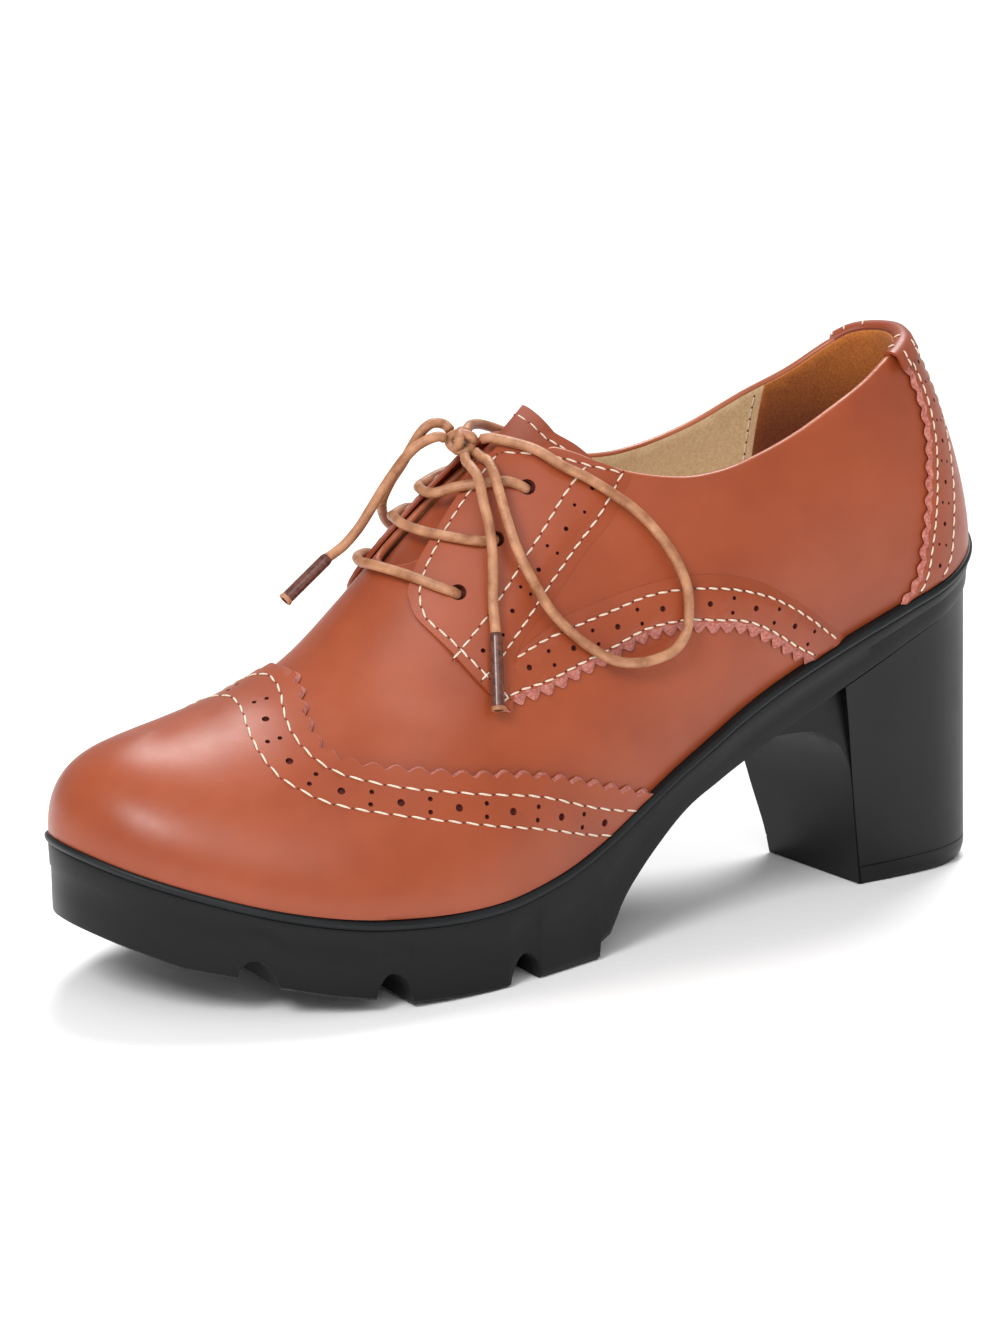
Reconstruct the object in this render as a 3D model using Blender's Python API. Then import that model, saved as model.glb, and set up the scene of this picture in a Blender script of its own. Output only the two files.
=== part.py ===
"""Left heeled oxford shoe with a platform sole, metres, +Z up.

The toe points to -X, the outer (lateral) side to -Y and the medial side to +Y. The shoe stands on
the floor z = 0 on its forefoot lugs and its heel. The origin is under the middle of the shoe.
Every leather piece comes from one function, skin_point, which is the outside of the closed last.
"""
import bmesh
import bpy
import numpy as np

for old in list(bpy.data.objects):
    bpy.data.objects.remove(old, do_unlink=True)

LENGTH = 0.2406          # feather line of the upper, toe to heel
BALL_WIDTH = 0.0890      # feather line is 0.924 of this at the ball
BALL_SEAT = 0.0205       # top of the platform over its lowest place
HEEL_SEAT = 0.0850       # top of the sole at the back of the heel
INSTEP_RISE = 0.0940     # collar front over the sole's top
UPPER_WALL = 0.0018
OVERLAY = 0.0012         # toe cap, facings, side bands and back strap
TONGUE = 0.0020
INSOLE = 0.0030
GAP = 0.0003             # between pieces that lie on each other
OVERLAY_GAP = 0.0004     # under a curved overlay
TONGUE_DROP = 0.0007     # clearance between upper and tongue
INSOLE_CLEAR = 0.0009    # clearance between upper and insole

WELT = 0.0027            # the sole's rim stands this far outside the feather line
BEAD = 0.0022            # height of the rolled bead on the rim
BEAD_OUT = 0.0009        # the bead stands this far outside the sole's side
TOE_LIFT = 0.0194        # the tread's highest place, under the toe
WAIST = 0.0110           # thickness of the sole at the arch
SIDE_RIB = 0.0005        # relief of the ribs round the platform's side
HEEL_FOOT_FRONT = 0.343 * LENGTH   # x of the block's outer front corner on the floor
HEEL_FOOT_LENGTH = 0.0412
HEEL_FOOT_WIDTH = 0.0340
HEEL_FOOT_SHIFT = 0.0034   # the foot stands this far to the outer side at its front
HEEL_FOOT_SWING = 0.0020   # and this much more at its back
HEEL_FOOT_TURN = 0.095     # slope of its front edge, whose inner end lies further forward
HEEL_FOOT_ROUND = 0.0020   # its back and sides are rounded in this far at the floor
HEEL_TOP_INSET = 0.0012  # the heel block stands inside the sole's rim

THROAT_FRONT = -0.162 * LENGTH   # x of the vamp's edge between the facings
THROAT_BACK = 0.0416 * LENGTH
THROAT_OUTER = 0.0100    # half widths of the throat, from the ridge line
THROAT_INNER = 0.0075
TONGUE_FRONT = -0.208 * LENGTH
LACE = 0.0024            # diameter of the waxed lace
BAR_CLEAR = 0.0006       # between a lace's bar and the facing
AGLET = 0.0030

# top of the sole: x as a share of LENGTH, rise from BALL_SEAT to HEEL_SEAT
SEAT_ROWS = [
    (-0.510, 0.270), (-0.477, 0.217), (-0.419, 0.141), (-0.356, 0.074), (-0.294, 0.029),
    (-0.231, 0.005), (-0.177, -0.003), (-0.128, 0.005), (-0.086, 0.032), (-0.044, 0.073),
    (-0.003, 0.136), (0.039, 0.222), (0.080, 0.312), (0.122, 0.398), (0.163, 0.485),
    (0.205, 0.563), (0.247, 0.631), (0.288, 0.693), (0.330, 0.752), (0.371, 0.805),
    (0.413, 0.851), (0.454, 0.904), (0.488, 0.961), (0.514, 1.003),
]

# sections of the last, each a curve from the feather line up to the ridge
#  feather x, outer, inner |  ridge x,   side,   rise, slope | lower handle up, out | upper handle
LAST_ROWS = np.array([
    (-0.500, 0.047, 0.047, -0.406, 0.063, 0.304, 0.10, 0.133, 0.006, 0.174),
    (-0.490, -0.062, 0.156, -0.404, 0.063, 0.306, 0.11, 0.133, 0.011, 0.185),
    (-0.461, -0.180, 0.263, -0.394, 0.063, 0.316, 0.13, 0.133, 0.017, 0.197),
    (-0.414, -0.286, 0.351, -0.375, 0.063, 0.341, 0.19, 0.138, 0.022, 0.213),
    (-0.356, -0.375, 0.417, -0.340, 0.063, 0.387, 0.30, 0.144, 0.028, 0.225),
    (-0.290, -0.440, 0.457, -0.294, 0.063, 0.447, 0.46, 0.160, 0.028, 0.230),
    (-0.223, -0.462, 0.462, -0.244, 0.058, 0.533, 0.74, 0.181, 0.022, 0.236),
    (-0.157, -0.457, 0.440, -0.194, 0.052, 0.660, 0.98, 0.223, 0.017, 0.236),
    (-0.090, -0.429, 0.395, -0.144, 0.047, 0.793, 1.00, 0.277, 0.017, 0.230),
    (-0.024, -0.389, 0.344, -0.094, 0.041, 0.898, 0.86, 0.309, 0.022, 0.219),
    (0.047, -0.353, 0.314, -0.036, 0.030, 0.973, 0.62, 0.340, 0.045, 0.208),
    (0.122, -0.331, 0.298, 0.051, 0.019, 0.962, 0.40, 0.362, 0.067, 0.213),
    (0.205, -0.317, 0.294, 0.151, 0.007, 0.903, 0.31, 0.351, 0.084, 0.236),
    (0.288, -0.315, 0.296, 0.234, 0.002, 0.863, 0.29, 0.298, 0.067, 0.236),
    (0.363, -0.310, 0.290, 0.292, 0.000, 0.845, 0.29, 0.234, 0.034, 0.225),
    (0.428, -0.275, 0.258, 0.325, 0.000, 0.839, 0.30, 0.223, 0.017, 0.202),
    (0.475, -0.177, 0.162, 0.342, 0.000, 0.837, 0.30, 0.213, 0.002, 0.180),
    (0.500, 0.000, 0.000, 0.346, 0.000, 0.836, 0.30, 0.213, -0.012, 0.169),
])
FEATHER_X, OUTER, INNER, RIDGE_X, RIDGE_Y, RIDGE_RISE, SLOPE, LOW_UP, LOW_OUT, HIGH = range(10)

# collar: x as a share of LENGTH, height over the sole's top as a share of INSTEP_RISE
COLLAR_OUTER = [
    (-0.128, 0.968), (-0.069, 1.010), (-0.049, 0.997), (-0.024, 0.963), (-0.003, 0.923),
    (0.018, 0.877), (0.043, 0.809), (0.068, 0.749), (0.097, 0.693), (0.134, 0.636),
    (0.163, 0.605), (0.197, 0.587), (0.242, 0.577), (0.292, 0.579), (0.338, 0.585),
    (0.375, 0.599), (0.407, 0.608), (0.418, 0.610), (0.430, 0.609), (0.454, 0.602),
]
COLLAR_INNER = [
    (-0.128, 0.968), (-0.069, 1.010), (-0.049, 0.997), (-0.024, 0.963), (-0.003, 0.918),
    (0.018, 0.868), (0.043, 0.800), (0.068, 0.738), (0.097, 0.681), (0.122, 0.637),
    (0.155, 0.587), (0.184, 0.556), (0.246, 0.525), (0.305, 0.535), (0.363, 0.556),
    (0.392, 0.590), (0.407, 0.608), (0.418, 0.610), (0.430, 0.609), (0.454, 0.602),
]

# tread under the forefoot: x as a share of LENGTH, height as a share of TOE_LIFT
TREAD_ROWS = [
    (-0.507, 1.000), (-0.477, 0.840), (-0.435, 0.618), (-0.394, 0.510),
    (-0.384, 0.660), (-0.371, 0.700), (-0.359, 0.376),
    (-0.316, 0.252), (-0.275, 0.155), (-0.264, 0.400), (-0.250, 0.430), (-0.238, 0.050),
    (-0.195, 0.018), (-0.151, 0.000), (-0.131, 0.330), (-0.116, 0.350), (-0.094, 0.000),
    (-0.055, 0.000), (-0.015, 0.000),
]
# underside behind the platform: x as a share of LENGTH, thickness as a share of WAIST
WAIST_ROWS = [
    (-0.001, 2.227), (0.012, 1.827), (0.037, 1.473), (0.063, 1.255), (0.100, 1.060),
    (0.138, 1.100), (0.175, 1.160), (0.222, 1.150), (0.300, 1.060), (0.400, 0.860), (0.500, 0.730),
]
# heel block: height share, front as a share of the way forward, width share from foot to top
HEEL_ROWS = [
    (0.00, 0.00, 0.00), (0.018, 0.00, 0.01), (0.05, 0.01, 0.03), (0.30, 0.10, 0.24), (0.50, 0.17, 0.44),
    (0.64, 0.25, 0.60), (0.75, 0.36, 0.73), (0.84, 0.52, 0.83), (0.92, 0.75, 0.91), (1.00, 1.00, 1.00),
]
HEEL_SIDES = [0.292, 0.336, 0.380, 0.415, 0.445, 0.468, 0.485, 0.497]  # shares of LENGTH
HEEL_WEB_REACH = 0.034   # the breast sweeps this far forward under the waist
HEEL_WEB_STEP = 0.0006   # on the floor the breast stands this far before the block
HEEL_WEB_INSET = 0.0024  # at its top it stands this far inside the block's sides
HEEL_WEB_FADE = 0.55     # height share below which breast and block are one

# top edge of the tongue: share of the section, x as a share of LENGTH
TONGUE_ROWS = [(0.64, 0.046), (0.70, 0.040), (0.77, 0.028), (0.84, 0.015), (0.93, 0.005), (1.00, -0.001)]

# rear edge of the wing cap: share of the section, x of that section as a share of LENGTH
CAP_EDGE = [
    (0.000, 0.050), (0.100, 0.004), (0.170, -0.032), (0.230, -0.069), (0.305, -0.119),
    (0.360, -0.157), (0.450, -0.208), (0.510, -0.241), (0.555, -0.261), (0.605, -0.274),
    (0.680, -0.277), (0.770, -0.271), (0.870, -0.257), (0.960, -0.248), (1.000, -0.246),
]
# facing, clockwise: x as a share of LENGTH, share of the section
FACING_INNER = [(-0.128, 0.800), (-0.118, 0.822), (-0.099, 0.845), (-0.053, 0.875),
                (-0.019, 0.897), (0.010, 0.912), (0.030, 0.912)]
FACING_TOP = [(0.030, 0.912), (0.034, 0.876), (0.049, 0.818), (0.066, 0.750), (0.100, 0.634)]
FACING_REAR = [(-0.092, 0.405), (-0.062, 0.490), (-0.026, 0.510), (0.002, 0.522), (0.033, 0.541),
               (0.069, 0.572), (0.109, 0.624)]
FACING_LOW = [(-0.128, 0.800), (-0.134, 0.727), (-0.122, 0.587), (-0.109, 0.485), (-0.092, 0.405)]
# side band: x as a share of LENGTH, share of the section at its lower and its upper edge
BAND_ROWS = [
    (-0.080, 0.400, 0.440), (-0.045, 0.372, 0.470), (-0.008, 0.352, 0.462), (0.028, 0.326, 0.434),
    (0.063, 0.308, 0.407), (0.101, 0.268, 0.374), (0.128, 0.230, 0.342), (0.159, 0.184, 0.296),
    (0.188, 0.125, 0.245), (0.215, 0.060, 0.184), (0.243, 0.000, 0.122), (0.290, 0.000, 0.012),
]
# strap down the back: share of the section, x of its edge as a share of LENGTH
STRAP_ROWS = [(0.000, 0.360), (0.040, 0.375), (0.150, 0.390), (0.235, 0.402), (0.313, 0.414),
              (0.382, 0.427), (0.471, 0.437), (0.568, 0.436), (0.700, 0.432)]
# lace bars between each pair of eyelets: side, x as a share of LENGTH, share of the section
BARS = [
    [(-1, -0.093, 0.690), (-1, -0.103, 0.730), (-1, -0.117, 0.835), (-1, -0.123, 0.950),
     (1, -0.125, 0.970), (1, -0.125, 0.900), (1, -0.118, 0.820), (1, -0.105, 0.750), (1, -0.093, 0.700)],
    [(-1, -0.038, 0.710), (-1, -0.051, 0.735), (-1, -0.067, 0.800), (-1, -0.078, 0.880),
     (-1, -0.078, 0.970), (1, -0.078, 0.930), (1, -0.076, 0.860), (1, -0.057, 0.780), (1, -0.038, 0.710)],
    [(-1, 0.014, 0.745), (-1, 0.004, 0.795), (-1, -0.014, 0.850), (-1, -0.028, 0.900),
     (-1, -0.041, 0.960), (1, -0.043, 0.950), (1, -0.040, 0.880), (1, -0.015, 0.800), (1, 0.012, 0.745)],
]
# free stretches of the lace, in millimetres
MM = 0.001
KNOT_PLACE = (-17.6, 3.0, 117.0)
KNOT_RADII = (4.4, 4.8, 3.6)
LOOP_LATERAL = [
    (-12.7, -1.6, 118.2), (-9.4, -5.2, 117.5), (-5.4, -9.9, 116.0), (-1.4, -14.3, 112.8),
    (3.8, -17.1, 109.8), (8.7, -20.0, 106.2), (13.0, -22.5, 102.6), (16.3, -24.7, 98.8),
    (19.4, -27.0, 94.0), (21.6, -28.8, 89.2), (22.8, -30.3, 84.5), (22.9, -31.1, 79.5),
    (21.7, -32.1, 74.6), (19.0, -32.7, 71.3), (15.3, -32.8, 69.6), (8.6, -32.6, 68.8),
    (1.6, -31.8, 70.2), (-5.7, -29.5, 75.3), (-11.5, -26.4, 82.0), (-15.6, -23.2, 90.6),
    (-17.7, -20.8, 97.0), (-18.0, -17.4, 102.6), (-17.8, -14.4, 107.0), (-17.2, -10.4, 111.9),
    (-16.4, -6.4, 114.0), (-16.0, -3.6, 114.2),
]
LOOP_MEDIAL = [
    (-19.5, 8.0, 120.5), (-22.5, 8.2, 121.0), (-25.2, 8.6, 119.2), (-27.0, 10.0, 115.6),
    (-28.6, 11.8, 111.4), (-30.6, 14.0, 106.8), (-30.8, 17.4, 101.4), (-27.0, 22.0, 96.0),
    (-20.0, 26.2, 91.3), (-13.0, 28.6, 87.3), (-6.9, 29.4, 84.4), (0.0, 29.6, 82.7), (6.3, 29.4, 82.7),
    (11.5, 29.0, 86.0), (15.6, 28.2, 91.6), (16.8, 26.8, 97.6), (15.9, 25.2, 103.2),
    (12.2, 22.8, 108.6), (7.0, 20.4, 112.7), (1.0, 17.6, 115.6), (-4.9, 14.8, 117.8),
    (-9.5, 11.5, 118.9), (-12.6, 8.6, 119.0),
]
END_FRONT = [
    (-23.5, 4.5, 118.6), (-27.1, 6.0, 117.0), (-29.8, 7.5, 114.2), (-32.0, 8.8, 110.9),
    (-35.0, 10.0, 106.2), (-37.6, 11.0, 101.7), (-40.4, 11.6, 97.6), (-43.7, 12.0, 94.2),
    (-46.2, 12.1, 92.6), (-48.4, 12.2, 91.4),
]
AGLET_FRONT = [(-48.65, 12.2, 91.2), (-59.6, 12.3, 82.8)]
END_SIDE = [
    (-19.6, -2.2, 113.4), (-20.4, -5.4, 113.0), (-20.8, -9.4, 111.0), (-21.6, -13.2, 105.9),
    (-22.0, -15.8, 102.3), (-22.8, -18.6, 97.6), (-23.7, -20.6, 91.5), (-24.6, -22.1, 85.3),
    (-25.8, -25.3, 78.2),
]
AGLET_SIDE = [(-25.9, -25.5, 77.85), (-29.4, -32.2, 62.6)]


def smooth_table(rows, x):
    """Value at x on a smooth curve through the (x, value) rows."""
    xs, ys = np.array(rows, float).T
    x = np.clip(x, xs[0], xs[-1])
    slopes = np.gradient(ys, xs)
    i = np.clip(np.searchsorted(xs, x, side="right") - 1, 0, len(xs) - 2)
    h = xs[i + 1] - xs[i]
    f = (x - xs[i]) / h
    return ((2 * f**3 - 3 * f**2 + 1) * ys[i] + (f**3 - 2 * f**2 + f) * slopes[i] * h
            + (3 * f**2 - 2 * f**3) * ys[i + 1] + (f**3 - f**2) * slopes[i + 1] * h)


def straight_table(rows, x):
    xs, ys = np.array(rows, float).T
    return np.interp(x, xs, ys)


def spline(rows, t, before, after):
    """Catmull-Rom curve, one step of t for each row; before and after are the rows past its ends."""
    padded = np.vstack([before, rows, after])
    t = np.clip(t, 0, len(rows) - 1)
    i = np.clip(np.floor(t).astype(int), 0, len(rows) - 2)
    f = (t - i)[..., None]
    a, b, c, d = padded[i], padded[i + 1], padded[i + 2], padded[i + 3]
    return 0.5 * (2 * b + (c - a) * f + (2 * a - 5 * b + 4 * c - d) * f**2
                  + (3 * b - a - 3 * c + d) * f**3)


def seat(x):
    """Height of the sole's top at x."""
    return BALL_SEAT + (HEEL_SEAT - BALL_SEAT) * smooth_table(SEAT_ROWS, np.asarray(x) / LENGTH)


END = len(LAST_ROWS) - 1
OUTER_SIDE, INNER_SIDE = -1, 1


def feather(side, t):
    """Point of the feather line, where the upper meets the sole."""
    own, other = (OUTER, INNER) if side == OUTER_SIDE else (INNER, OUTER)
    plan = LAST_ROWS[:, [FEATHER_X, own]]
    past = LAST_ROWS[:, [FEATHER_X, other]]
    share = spline(plan, t, past[1], past[-2])
    x = share[..., 0] * LENGTH
    return np.stack([x, share[..., 1] * BALL_WIDTH, seat(x)], -1)


DENSE_T = np.linspace(0, END, 1500)
DENSE_X = feather(OUTER_SIDE, DENSE_T)[:, 0]


def station(along):
    """Section number of the feather point at this share of LENGTH."""
    return np.interp(np.asarray(along) * LENGTH, DENSE_X, DENSE_T)


def skin_point(side, t, s):
    """Outside of the last: section t, share s of the way from the feather line to the ridge."""
    t, s = np.asarray(t, float), np.asarray(s, float)[..., None]
    row = spline(LAST_ROWS, t, LAST_ROWS[1], LAST_ROWS[-2])
    low = feather(side, t)
    ridge_x = row[..., RIDGE_X] * LENGTH
    top = np.stack([ridge_x, row[..., RIDGE_Y] * BALL_WIDTH,
                    seat(ridge_x) + row[..., RIDGE_RISE] * INSTEP_RISE], -1)
    out = low[..., :2] - top[..., :2]
    out = out / np.linalg.norm(out, axis=-1, keepdims=True)
    lift = np.concatenate([out * row[..., [LOW_OUT]] * BALL_WIDTH,
                           row[..., [LOW_UP]] * INSTEP_RISE], -1)
    reach = row[..., [HIGH]] * BALL_WIDTH * np.concatenate([out, row[..., [SLOPE]] * out[..., :1]], -1)
    return ((1 - s)**3 * low + 3 * (1 - s)**2 * s * (low + lift)
            + 3 * (1 - s) * s**2 * (top + reach) + s**3 * top)


def skin_normal(side, t, s):
    """Unit normal that points out of the last."""
    step = 2e-3
    t, s = np.asarray(t, float), np.asarray(s, float)
    along = (skin_point(side, np.clip(t + step, 0, END), s)
             - skin_point(side, np.clip(t - step, 0, END), s))
    up = (skin_point(side, t, np.clip(s + step, 0, 1))
          - skin_point(side, t, np.clip(s - step, 0, 1)))
    normal = np.cross(along, up) * -side
    normal = normal / np.maximum(np.linalg.norm(normal, axis=-1, keepdims=True), 1e-15)
    slope = spline(LAST_ROWS, t, LAST_ROWS[1], LAST_ROWS[-2])[..., SLOPE]
    ridge = np.stack([-slope, 0 * slope, 1 + 0 * slope], -1)
    ridge = ridge / np.linalg.norm(ridge, axis=-1, keepdims=True)
    return np.where((s > 0.996)[..., None], ridge, normal)


def material(name, colour, roughness, metallic=0.0):
    made = bpy.data.materials.new(name)
    made.use_nodes = True
    shader = made.node_tree.nodes["Principled BSDF"]
    shader.inputs["Base Color"].default_value = (*colour, 1)
    shader.inputs["Roughness"].default_value = roughness
    shader.inputs["Metallic"].default_value = metallic
    return made


LEATHER = material("tan_leather", (0.45, 0.095, 0.042), 0.38)
RUBBER = material("black_rubber", (0.026, 0.024, 0.026), 0.45)
INSOLE_LEATHER = material("insole_leather", (0.62, 0.42, 0.24), 0.6)
CORD = material("waxed_cord", (0.50, 0.25, 0.12), 0.5)
TIP = material("aglet_plastic", (0.06, 0.025, 0.02), 0.3)


def add_object(name, points, faces, look):
    """One closed body from points and faces, faces turned outwards."""
    mesh = bpy.data.meshes.new(name)
    mesh.from_pydata([tuple(map(float, p)) for p in points], [], faces)
    work = bmesh.new()
    work.from_mesh(mesh)
    bmesh.ops.remove_doubles(work, verts=work.verts, dist=1e-7)
    bmesh.ops.recalc_face_normals(work, faces=work.faces)
    if work.calc_volume(signed=True) < 0:
        bmesh.ops.reverse_faces(work, faces=work.faces)
    bmesh.ops.triangulate(work, faces=work.faces)
    work.to_mesh(mesh)
    work.free()
    mesh.materials.append(look)
    mesh.shade_smooth()
    mesh.set_sharp_from_angle(angle=0.7)
    made = bpy.data.objects.new(name, mesh)
    bpy.context.collection.objects.link(made)
    return made


def leather(name, patches, low, high, look=LEATHER):
    """A sheet between two offsets of the last. Each patch is (side, t grid, s grid)."""
    number, base, normals, seated, quads = {}, [], [], [], []
    for side, t, s in patches:
        t, s = np.broadcast_arrays(t, s)
        points, turned = skin_point(side, t, s), skin_normal(side, t, s)
        ids = np.empty(t.shape, int)
        for place in np.ndindex(t.shape):
            key = tuple(np.round(points[place] * 1e6).astype(int))
            if key not in number:
                number[key] = len(base)
                base.append(points[place])
                normals.append(np.zeros(3))
                seated.append(s[place] < 1e-6)
            ids[place] = number[key]
            normals[ids[place]] = normals[ids[place]] + turned[place]
        for i in range(t.shape[0] - 1):
            for j in range(t.shape[1] - 1):
                quad = [ids[i, j], ids[i + 1, j], ids[i + 1, j + 1], ids[i, j + 1]]
                quad = [v for k, v in enumerate(quad) if v not in quad[:k]]
                if len(quad) > 2:
                    quads.append(quad if side == OUTER_SIDE else quad[::-1])
    base, normals, seated = np.array(base), np.array(normals), np.array(seated)
    normals /= np.linalg.norm(normals, axis=1, keepdims=True)
    sheets = []
    for offset in (high, low):
        sheet = base + normals * offset
        sheet[seated, 2] = seat(sheet[seated, 0]) + GAP
        sheets.append(sheet)
    count = len(base)
    edges = {}
    for quad in quads:
        for a, b in zip(quad, quad[1:] + quad[:1]):
            edges[(a, b)] = edges.get((a, b), 0) + 1
    faces = [list(q) for q in quads] + [[v + count for v in q[::-1]] for q in quads]
    for a, b in edges:
        if (b, a) not in edges:
            faces.append([b, a, a + count, b + count])
    return add_object(name, np.vstack(sheets), faces, look)


def first_crossing(inside, shares):
    """Smallest share at which inside is true in each row, or 1."""
    hit = np.argmax(inside, axis=1)
    return np.where(inside.any(axis=1), shares[hit], 1.0)


def top_edge(side, t):
    """Share of each section that the upper keeps, below its collar and beside its throat."""
    shares = np.linspace(0.3, 1, 1401)
    grid_t, grid_s = np.meshgrid(np.atleast_1d(t), shares, indexing="ij")
    p = skin_point(side, grid_t, grid_s)
    rows = COLLAR_OUTER if side == OUTER_SIDE else COLLAR_INNER
    collar = seat(p[..., 0]) + INSTEP_RISE * smooth_table(rows, p[..., 0] / LENGTH)
    over = (p[..., 2] > collar) & (p[..., 0] > rows[0][0] * LENGTH)
    ridge = spline(LAST_ROWS, grid_t, LAST_ROWS[1], LAST_ROWS[-2])[..., RIDGE_Y] * BALL_WIDTH
    half = THROAT_OUTER if side == OUTER_SIDE else THROAT_INNER
    corner = np.clip((p[..., 0] - THROAT_FRONT) / half, 0, 1)
    beside = np.abs(p[..., 1] - ridge) < half * np.sqrt(1 - (1 - corner)**2)
    between = (p[..., 0] > THROAT_FRONT) & (p[..., 0] < THROAT_BACK)
    return first_crossing(over | (beside & between), shares)


FREE_SHARE = 0.42        # sections move with the top edge only above this share


def under_edge(edge, k):
    """Share of the section for level k (0 at the feather line, 1 at the top edge)."""
    upper = FREE_SHARE + (edge - FREE_SHARE) * (k - FREE_SHARE) / (1 - FREE_SHARE)
    return np.where(k < FREE_SHARE, k, upper)


def upper_patch(side, stations, levels):
    edge = top_edge(side, stations)
    return side, stations[:, None], under_edge(edge[:, None], levels[None, :])


def build_upper():
    stations = np.concatenate([np.arange(0, 6.8, 0.52), np.arange(6.9, 9.2, 0.3),
                               np.arange(9.3, 14.2, 0.69), np.arange(14.3, END - 0.3, 0.5), [END]])
    levels = np.array([0, 0.12, 0.24, 0.36, 0.47, 0.58, 0.69, 0.80, 0.90, 1.0])
    leather("upper", [upper_patch(side, stations, levels) for side in (OUTER_SIDE, INNER_SIDE)],
            -UPPER_WALL, 0.0)


def build_wing_cap():
    shares = np.array([0, 0.09, 0.18, 0.27, 0.36, 0.44, 0.52, 0.60, 0.69, 0.78, 0.87, 0.94, 1.0])
    rear = station(smooth_table(CAP_EDGE, shares))
    steps = np.linspace(0, 1, 21)[:, None]
    patches = [(side, steps * rear[None, :], shares[None, :] + 0 * steps)
               for side in (OUTER_SIDE, INNER_SIDE)]
    leather("wing_cap", patches, OVERLAY_GAP, OVERLAY_GAP + OVERLAY)


def resample(rows, count):
    """Evenly spaced points on a smooth open curve through the rows of a facing's edge."""
    rows = np.array(rows, float)
    t = np.linspace(0, len(rows) - 1, 200)
    fine = spline(rows, t, 2 * rows[0] - rows[1], 2 * rows[-1] - rows[-2])
    real = fine * np.array([LENGTH, INSTEP_RISE])
    run = np.concatenate([[0], np.cumsum(np.linalg.norm(np.diff(real, axis=0), axis=1))])
    even = np.linspace(0, run[-1], count)
    return np.stack([np.interp(even, run, fine[:, k]) for k in (0, 1)], -1)


def four_sided(left, right, bottom, top):
    """Grid inside four edges; left and right run up, bottom and top run from left to right."""
    u = np.linspace(0, 1, len(bottom))[:, None, None]
    v = np.linspace(0, 1, len(left))[None, :, None]
    sides = (1 - u) * left[None] + u * right[None]
    ends = (1 - v) * bottom[:, None] + v * top[:, None]
    corners = ((1 - u) * (1 - v) * bottom[0] + u * (1 - v) * bottom[-1]
               + (1 - u) * v * top[0] + u * v * top[-1])
    return sides + ends - corners


def build_facing(name, side):
    inner, rear = resample(FACING_INNER, 13), resample(FACING_REAR, 13)
    low, top = resample(FACING_LOW, 9), resample(FACING_TOP, 9)
    grid = four_sided(inner, rear, low, top)
    leather(name, [(side, station(grid[..., 0]), grid[..., 1])], OVERLAY_GAP, OVERLAY_GAP + OVERLAY)


def build_side_band(name, side):
    rows = np.array(BAND_ROWS)
    along = np.linspace(rows[0, 0], rows[-1, 0], 25)
    low = np.maximum(smooth_table(rows[:, :2], along), 0)
    high = smooth_table(rows[:, [0, 2]], along)
    across = np.linspace(0, 1, 4)
    shares = low[:, None] + (high - low)[:, None] * across
    shares[shares < 1e-3] = 0
    leather(name, [(side, station(along)[:, None] + 0 * shares, shares)],
            OVERLAY_GAP, OVERLAY_GAP + OVERLAY)


def build_back_strap():
    levels = np.linspace(0, 1, 13)
    patches = []
    for side in (OUTER_SIDE, INNER_SIDE):
        shares = np.tile(levels, (7, 1))
        for _ in range(3):
            front = station(smooth_table(STRAP_ROWS, shares[0]))
            steps = np.linspace(0, 1, 7)[:, None]
            t = front[None, :] + steps * (END - front[None, :])
            edge = np.array([top_edge(side, t[:, -1])[k] for k in range(7)]) - 0.01
            shares = edge[:, None] * levels[None, :]
        patches.append((side, t, shares))
    leather("back_strap", patches, OVERLAY_GAP, OVERLAY_GAP + OVERLAY)


def at_x(side, share, x):
    """Section number where the curve of this share reaches x."""
    t = np.linspace(0, END, 900)
    return np.interp(x, skin_point(side, t, np.full(900, share))[:, 0], t)


def build_tongue():
    shares = np.concatenate([np.linspace(TONGUE_ROWS[0][0], 0.94, 7), [1.0]])
    top = smooth_table(TONGUE_ROWS, shares) * LENGTH
    steps = np.linspace(0, 1, 15)[:, None]
    patches = []
    for side in (OUTER_SIDE, INNER_SIDE):
        first = np.array([at_x(side, s, TONGUE_FRONT) for s in shares])
        last = np.array([at_x(side, s, x) for s, x in zip(shares, top)])
        patches.append((side, first[None, :] + steps * (last - first)[None, :],
                        shares[None, :] + 0 * steps))
    outside = -UPPER_WALL - TONGUE_DROP
    leather("tongue", patches, outside - TONGUE, outside)


def plan_normal(side, t):
    """Outward unit normal of the feather line, seen from above."""
    step = 1e-2
    run = feather(side, np.clip(t + step, 0, END)) - feather(side, np.clip(t - step, 0, END))
    normal = np.stack([run[..., 1], -run[..., 0]], -1) * -side
    ends = np.isclose(t, 0) | np.isclose(t, END)
    tip = np.stack([np.sign(t - END / 2), 0 * t], -1)
    normal = np.where(ends[..., None], tip, normal)
    return normal / np.linalg.norm(normal, axis=-1, keepdims=True)


def underside(x):
    """Height of the sole's bottom at x: the tread, then the face behind it and the waist."""
    along = np.asarray(x) / LENGTH
    tread = TOE_LIFT * straight_table(TREAD_ROWS, along)
    waist = seat(x) - WAIST * smooth_table(WAIST_ROWS, along)
    return np.where(along <= TREAD_ROWS[-1][0] + 1e-9, tread, waist)


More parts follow.
